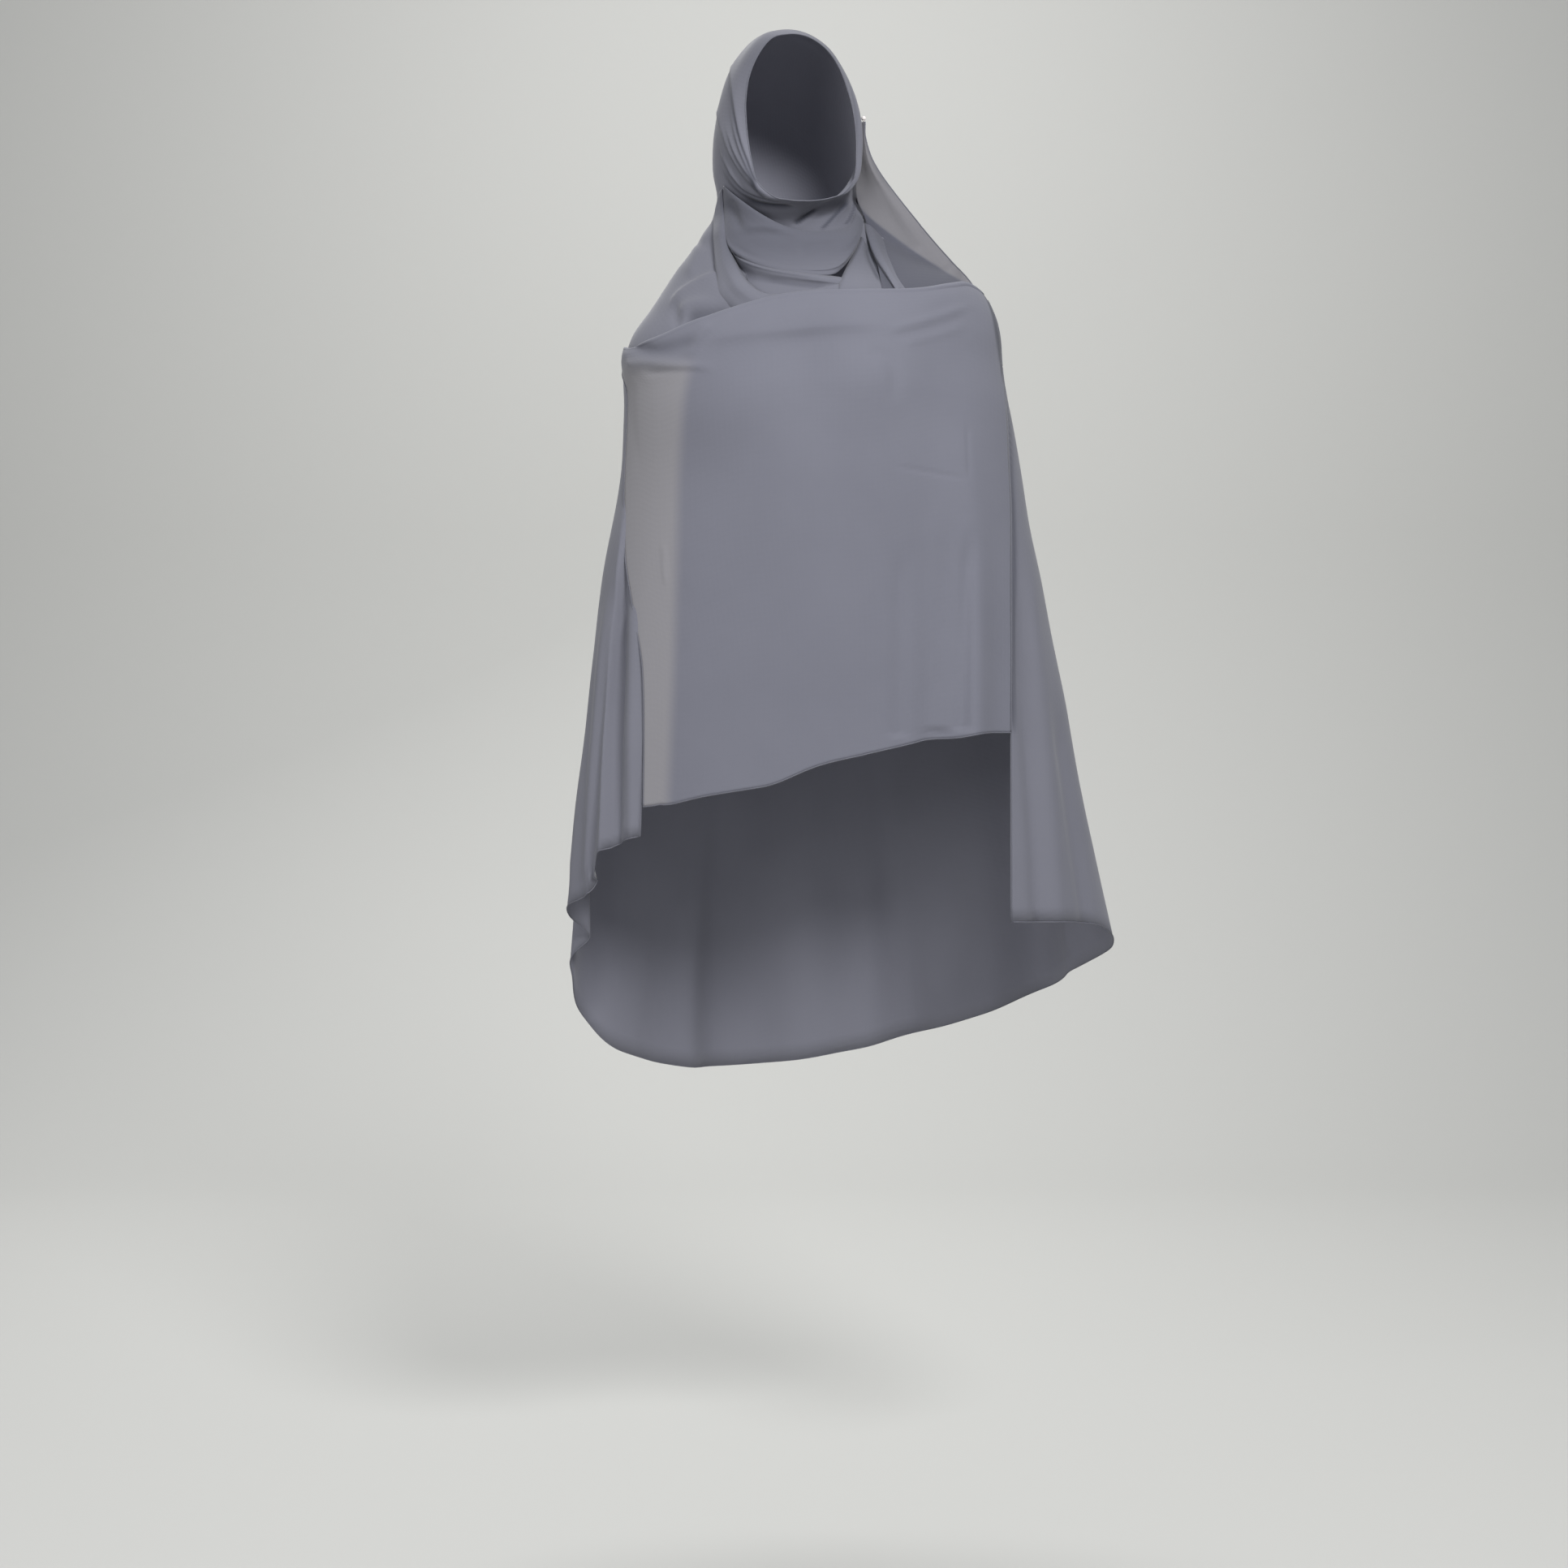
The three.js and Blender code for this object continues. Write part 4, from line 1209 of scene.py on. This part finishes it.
leftStripLines = [
    [(891, 234, 0), (893, 262, 3), (898, 296, 4), (908, 324, 5), (924, 349, 6), (950, 364, 7),
     (990, 362, 10), (1034, 354, 12)],
    [(890, 233, 4), (892, 262, 9), (896, 296, 12), (906, 325, 13), (922, 350, 14), (948, 362, 14),
     (990, 358, 14), (1034, 350, 14)],
    [(889, 233, 6), (889, 262, 12), (893, 298, 15), (901, 327, 17), (916, 352, 17), (944, 366, 16),
     (988, 363, 15), (1034, 355, 14)],
    [(888, 234, 6), (886, 262, 12), (888, 300, 15), (895, 330, 16), (908, 354, 16), (938, 371, 15),
     (986, 369, 13), (1034, 362, 12)],
    [(887, 236, 4), (882, 264, 9), (883, 302, 11), (889, 334, 12), (900, 358, 10), (930, 377, 11),
     (984, 376, 11), (1034, 370, 10)],
    [(886, 238, 1), (880, 266, 4), (880, 304, 6), (884, 336, 6), (891, 362, 4), (922, 384, 6),
     (982, 384, 9), (1034, 378, 8)],
    [(888, 240, -5), (882, 268, -5), (880, 306, -4), (882, 340, -4), (884, 368, -6), (920, 392, -1),
     (982, 392, 6), (1034, 386, 5)],
]

flapLines = [
    [(1062, 292, 3), (1052, 310, 6), (1042, 330, 9), (1033, 352, 12), (1030, 366, 10)],
    [(1064, 294, 7), (1056, 310, 12), (1047, 330, 15), (1038, 352, 16), (1036, 366, 12)],
    [(1065, 296, 8), (1060, 311, 13), (1054, 331, 15), (1048, 352, 16), (1047, 366, 12)],
    [(1066, 298, 7), (1065, 313, 11), (1064, 332, 13), (1064, 353, 14), (1064, 366, 11)],
    [(1067, 300, 4), (1069, 315, 7), (1073, 333, 8), (1079, 352, 9), (1082, 366, 8)],
    [(1068, 301, 0), (1073, 316, 1), (1081, 334, 2), (1091, 351, 3), (1096, 364, 3)],
]

rightStripLines = [
    [(1063, 262, 0), (1066, 285, 1), (1072, 304, 2), (1080, 322, 3), (1092, 342, 4), (1104, 360, 4)],
    [(1064, 258, 4), (1067, 280, 8), (1072, 300, 11), (1080, 318, 12), (1092, 337, 13), (1104, 357, 11)],
    [(1065, 257, 6), (1070, 278, 11), (1076, 298, 14), (1084, 316, 15), (1095, 335, 15), (1108, 355, 12)],
    [(1066, 257, 6), (1073, 277, 11), (1081, 297, 13), (1088, 316, 14), (1098, 335, 14), (1111, 355, 11)],
    [(1067, 258, 4), (1076, 277, 7), (1085, 298, 8), (1092, 317, 9), (1102, 337, 9), (1116, 356, 8)],
    [(1068, 260, 1), (1079, 279, 3), (1090, 300, 3), (1098, 320, 4), (1108, 340, 4), (1122, 358, 4)],
]

cowlCreases = [
    crease(-2.4, 6, [(896, 244), (904, 264), (915, 288)], shade=0.3),
    crease(-1.2, 5, [(908, 290), (940, 288), (985, 292)], shade=0.14),
    crease(1, 4, [(915, 281), (940, 279), (968, 284)]),
    crease(-2, 7, [(980, 312), (1005, 304), (1040, 299)], shade=0.22),
    crease(-1.2, 4, [(900, 298), (925, 314), (960, 322), (1010, 328)], shade=0.12),
]
swagCreases = [
    crease(-2, 7, [(900, 312), (910, 328), (926, 340), (956, 347)], shade=0.85, fadeIn=0.02, fadeOut=0.6),
    crease(-1, 4, [(930, 342), (980, 350), (1034, 354)], shade=0.45),
]
stripCreases = [
    crease(-0.5, 2, [(892, 240), (894, 270), (898, 298), (907, 322)], shade=0.5),
    crease(0.8, 5, [(886, 262), (888, 300), (896, 332), (912, 358)]),
]
flapCreases = [
    crease(-0.4, 2, [(1060, 298), (1052, 314), (1042, 332), (1035, 350)], shade=0.5),
    crease(-1, 3, [(1066, 296), (1070, 316), (1078, 334), (1088, 352)], shade=0.7),
]


def makeNeckLayer(name, lines, creases, seed):
    settings = neckCloth
    points = photoSheet(lines, settings["columns"], settings["between"])
    normals = gridNormals(points)
    if np.mean(normals[..., 1]) > 0:
        points = points[:, ::-1]
        normals = gridNormals(points)
    lift, shade = creaseLift(points, normals, creases)
    points = points + normals * lift[..., None]
    points = points + normals * waves(points, {**settings, "waveSeed": seed})[..., None]
    # the hood shades the throat, less and less towards the panel
    px, py = photoPlace(points)
    fade = settings["chinFade"] * smooth(py, *settings["chinFoot"])
    underChin = (1 - fade) * smooth(px, *settings["chinLeft"])
    shade = np.maximum(shade, settings["chinShade"] * underChin)
    piece = layMesh(name, points, settings["singleLightShare"], shade)
    finishCloth(piece, chiffon)
    return piece


upperPiece = makeNeckLayer("cowl_upper_cloth", upperCowlLines, cowlCreases, 3)
innerPiece = makeNeckLayer("cowl_inner_cloth", innerSwagLines, swagCreases, 6)
lowerPiece = makeNeckLayer("cowl_lower_cloth", leftStripLines, stripCreases, 4)
flapPiece = makeNeckLayer("neck_flap_cloth", flapLines, flapCreases, 7)
stripPiece = makeNeckLayer("neck_strip_cloth", rightStripLines, [], 8)
print("neck layers laid")

pinFall = {
    "rest": 6,
    "restFrom": (262, 300),
    "lyingShade": 0.55,
    "gatherShade": 0.6,
    "gatherFoot": (160, 215),
    "outerShade": 0.7,
    "outerFrom": (0.5, 0.95),
    "outerFoot": (215, 300),
    "fallShade": 0.32,
    "shoulderLine": [(1056, 250), (1069, 265), (1095, 286), (1122, 306), (1150, 325), (1176, 341),
                     (1206, 356)],
    "shoulderSoft": 2,
    "columns": 70,
    "rows": 90,
    "waveSize": 90,
    "waveDepth": 0.6,
    "waveSeed": 12,
}


# From the hood's side to the outer edge, each line running from the pin down under the chest
# panel: pixels across and down, and millimetres in front of the plane through the origin.
pinFallLines = [
    [(1060, 151, 17), (1059, 172, 15), (1057, 196, 14), (1054, 222, 14), (1056, 245, 15), (1066, 270, 18),
     (1078, 310, 20), (1088, 362, 26)],
    [(1061.5, 151, 19), (1061.5, 174, 21), (1063, 202, 22), (1067, 230, 20), (1078, 262, 20),
     (1094, 300, 22), (1106, 332, 24), (1112, 362, 26)],
    [(1063, 150, 20), (1064, 174, 24), (1070, 204, 30), (1082, 235, 26), (1099, 270, 22), (1120, 306, 22),
     (1136, 336, 24), (1142, 362, 26)],
    [(1064.5, 150, 21), (1065, 172, 25), (1074, 205, 32), (1094, 240, 28), (1122, 282, 24),
     (1150, 318, 24), (1168, 342, 26), (1174, 364, 28)],
    [(1066, 150, 21), (1066, 168, 23), (1075, 198, 26), (1101, 236, 24), (1139, 284, 22), (1176, 326, 22),
     (1196, 348, 24), (1204, 366, 26)],
]


def makePinFall():
    settings = pinFall
    points = layLines(pinFallLines, settings["rows"], settings["columns"])
    form = depthAt(points[..., 0], points[..., 1])
    # it hangs free from the pin and then lies on the shoulder
    lying = smooth(points[..., 1], *settings["restFrom"])
    resting = np.minimum(-points[..., 2], form - settings["rest"])
    depth = -points[..., 2] * (1 - lying) + resting * lying
    points = fromPhoto(points[..., 0], points[..., 1], depth).transpose(1, 0, 2)
    normals = gridNormals(points)
    points = points + normals * waves(points, settings)[..., None]
    # painted light and shade: above the shoulder line the fall is painted lighter as cloth in one layer;
    # where it lies on the shoulder, near the pin and along the outer edge at the top it is painted darker,
    # and it is never lighter than the fallShade floor
    px, py = photoPlace(points)
    soft = settings["shoulderSoft"]
    above = smooth(-awayFrom(curveThrough(settings["shoulderLine"]), px, py)[0], -soft, soft)
    # near the pin the fall is gathered and lies in the shade of the hood
    gathered = 1 - smooth(py, *settings["gatherFoot"])
    outer = smooth(np.linspace(0, 1, points.shape[1])[None, :], *settings["outerFrom"])
    outer = outer * (1 - smooth(py, *settings["outerFoot"]))
    deep = np.maximum(gathered, outer * settings["outerShade"])
    shade = settings["lyingShade"] * (1 - above) + settings["gatherShade"] * deep
    piece = layMesh("pin_fall_cloth", points, above, np.clip(shade, settings["fallShade"], 1))
    finishCloth(piece, chiffonSingle)
    return piece, points[:, -1]


pinFallPiece, fallEdge = makePinFall()
print("pin fall laid")


pin = {
    "around": 95,
    "tilt": 9,
    "headRadius": 2.8,
    "shaftRadius": 0.5,
    "length": 26,
    "pointLength": 2.5,
    "tipHeight": 0.8,
    "tipShare": 0.6,
    "collarRadius": 1.0,
    "collarHeight": 0.6,
    "collarEdge": 0.1,
    "seatGaps": 3,
    "sides": 32,
    "rings": 25,
}


def hoodSeat(around, tilt, lift, step=2):
    # A place on the hood, moved outwards by the lift. The hood's slopes come from places beside it.
    seat = hoodSurface(around, tilt)
    along = hoodSurface(around + step, tilt) - hoodSurface(around - step, tilt)
    back = hoodSurface(around, tilt + step) - hoodSurface(around, tilt - step)
    return seat + unit(np.cross(back, along)) * lift


def makePin():
    # A pearl on a thin shaft: a profile turned about the upright axis.
    settings = pin
    head = settings["headRadius"]
    shaft = settings["shaftRadius"]
    collar = settings["collarRadius"]
    edge = settings["collarEdge"]
    lift = head + settings["seatGaps"] * sizes["seatGap"]
    centre = hoodSeat(settings["around"], settings["tilt"], lift)
    turn = np.linspace(math.pi, 0, settings["rings"])
    ball = np.stack([np.sin(turn), np.cos(turn)], axis=-1)[turn < math.pi - math.asin(shaft / head)] * head
    bottom = -settings["length"]
    under = -head - settings["collarHeight"]
    below = [(0, bottom), (shaft * settings["tipShare"], bottom + settings["tipHeight"])]
    below = below + [(shaft, bottom + settings["pointLength"]), (shaft, under)]
    below = below + [(collar, under + edge), (collar, edge - head)]
    profile = np.concatenate([below, ball], axis=0)
    profile[-1, 0] = 0
    sides = settings["sides"]
    angle = np.linspace(0, 2 * math.pi, sides, endpoint=False)[None]
    radius = profile[:, :1]
    height = np.repeat(profile[:, 1:], sides, axis=1)
    ring = np.stack([radius * np.cos(angle), radius * np.sin(angle), height], axis=-1)
    quads = ringFaces(np.arange(ring.shape[0] * sides).reshape(-1, sides))
    piece = placeMesh("pearl_pin", ((ring.reshape(-1, 3) + centre) * millimetre).tolist(), quads.tolist())
    work = bmesh.new()
    work.from_mesh(piece.data)
    bmesh.ops.remove_doubles(work, verts=work.verts, dist=1e-6)
    bmesh.ops.recalc_face_normals(work, faces=work.faces)
    work.to_mesh(piece.data)
    work.free()
    piece.data.materials.append(pearlGloss)
    return piece


pinPiece = makePin()

faceHem = layTube("face_hem", faceEdge, sizes["hemRadius"], closed=True)
drapeHem = layTube("drape_hem", drapeEdge, sizes["hemRadius"])
panelHem = layTube("panel_hem", panelEdge, sizes["hemRadius"])
fallHem = layTube("fall_hem", fallEdge, sizes["hemRadius"])
hems = (faceHem, drapeHem, panelHem, fallHem)
for hem in hems:
    hem.data.materials.append(hemThread)
print("hems laid")

neckPieces = (upperPiece, innerPiece, lowerPiece, flapPiece, stripPiece)
for piece in (mainPiece, panelPiece, *neckPieces, pinFallPiece, *hems):
    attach(piece, "root")
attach(pinPiece, "root")
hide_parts("hood", "back_drape")
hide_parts("chest_panel")
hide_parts("cowl_upper")
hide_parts("cowl_lower")
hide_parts("pin_fall")
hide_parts("pin")


def declareCloth(piece):
    # Reads the area of each face of the sheet, and does nothing more with it.
    areas = np.empty(len(piece.data.polygons))
    piece.data.polygons.foreach_get("area", areas)


declareCloth(mainPiece)
declareCloth(panelPiece)
for piece in neckPieces:
    declareCloth(piece)
declareCloth(pinFallPiece)

# Stage, light and camera
stage = {
    "floorZ": -1.9,
    "wallY": 4.4,
    "wallTop": 6.0,
    "halfWidth": 14.0,
    "bend": 1.8,
    "bendSteps": 16,
    "wallColour": linearColour(186, 186, 183),
    "wallRoughness": 0.95,
    "worldColour": (0.95, 0.97, 1.0, 1),
    "worldStrength": 0.42,
}

bodyMiddle = (0, 0, -0.65)
lights = table("name place target size power", [
    ("KeyLight", (1.0, -2.6, 1.25), bodyMiddle, 1.0, 112),
    ("FillLight", (-2.2, -2.4, -0.1), bodyMiddle, 2.0, 40),
    ("WallLight", (0, 1.3, 2.2), (0, 4.4, -1.2), 2.5, 95),
    ("BackLight", (-1.3, 3.2, 1.2), bodyMiddle, 1.6, 42),
])


def makeStage():
    material, nodes, links = newMaterial("StagePaper")
    nodes["Principled BSDF"].inputs["Base Color"].default_value = stage["wallColour"]
    nodes["Principled BSDF"].inputs["Roughness"].default_value = stage["wallRoughness"]
    half, bend, wallY, floorZ = (stage[key] for key in ("halfWidth", "bend", "wallY", "floorZ"))
    turn = np.linspace(0, math.pi / 2, stage["bendSteps"])
    curve = [(wallY - bend + bend * math.sin(at), floorZ + bend - bend * math.cos(at)) for at in turn]
    profile = [(-half, floorZ), *curve, (wallY, stage["wallTop"])]
    points = [(side * half, y, z) for y, z in profile for side in (-1, 1)]
    faces = [(2 * i, 2 * i + 1, 2 * i + 3, 2 * i + 2) for i in range(len(profile) - 1)]
    floor = placeMesh("studio_floor", points, faces)
    floor.data.materials.append(material)


def addLight(row):
    light = bpy.data.lights.new(row["name"], "AREA")
    light.shape = "DISK"
    light.size = row["size"]
    light.energy = row["power"]
    lamp = bpy.data.objects.new(row["name"], light)
    lamp.visible_camera = False
    bpy.context.collection.objects.link(lamp)
    lamp.location = row["place"]
    way = Vector(row["target"]) - Vector(row["place"])
    lamp.rotation_euler = way.to_track_quat("-Z", "Y").to_euler()


makeStage()
for row in lights:
    addLight(row)
world = bpy.data.worlds.new("SoftRoom")
world.use_nodes = True
world.node_tree.nodes["Background"].inputs["Color"].default_value = stage["worldColour"]
world.node_tree.nodes["Background"].inputs["Strength"].default_value = stage["worldStrength"]
bpy.context.scene.world = world
bpy.context.scene.view_settings.view_transform = "Standard"

camera = bpy.data.cameras.new("PhotoCamera")
camera.sensor_width = photoView["sensor"]
camera.sensor_fit = "HORIZONTAL"
camera.lens = photoView["sensor"] * photoView["distance"] / (photoView["size"] * millimetre)
cameraPlace = bpy.data.objects.new("PhotoCamera", camera)
bpy.context.collection.objects.link(cameraPlace)
cameraPlace.location = (photoView["centreX"], -photoView["distance"], photoView["centreZ"])
cameraPlace.rotation_euler = (math.pi / 2, 0, 0)
bpy.context.scene.camera = cameraPlace

print("scene ready")
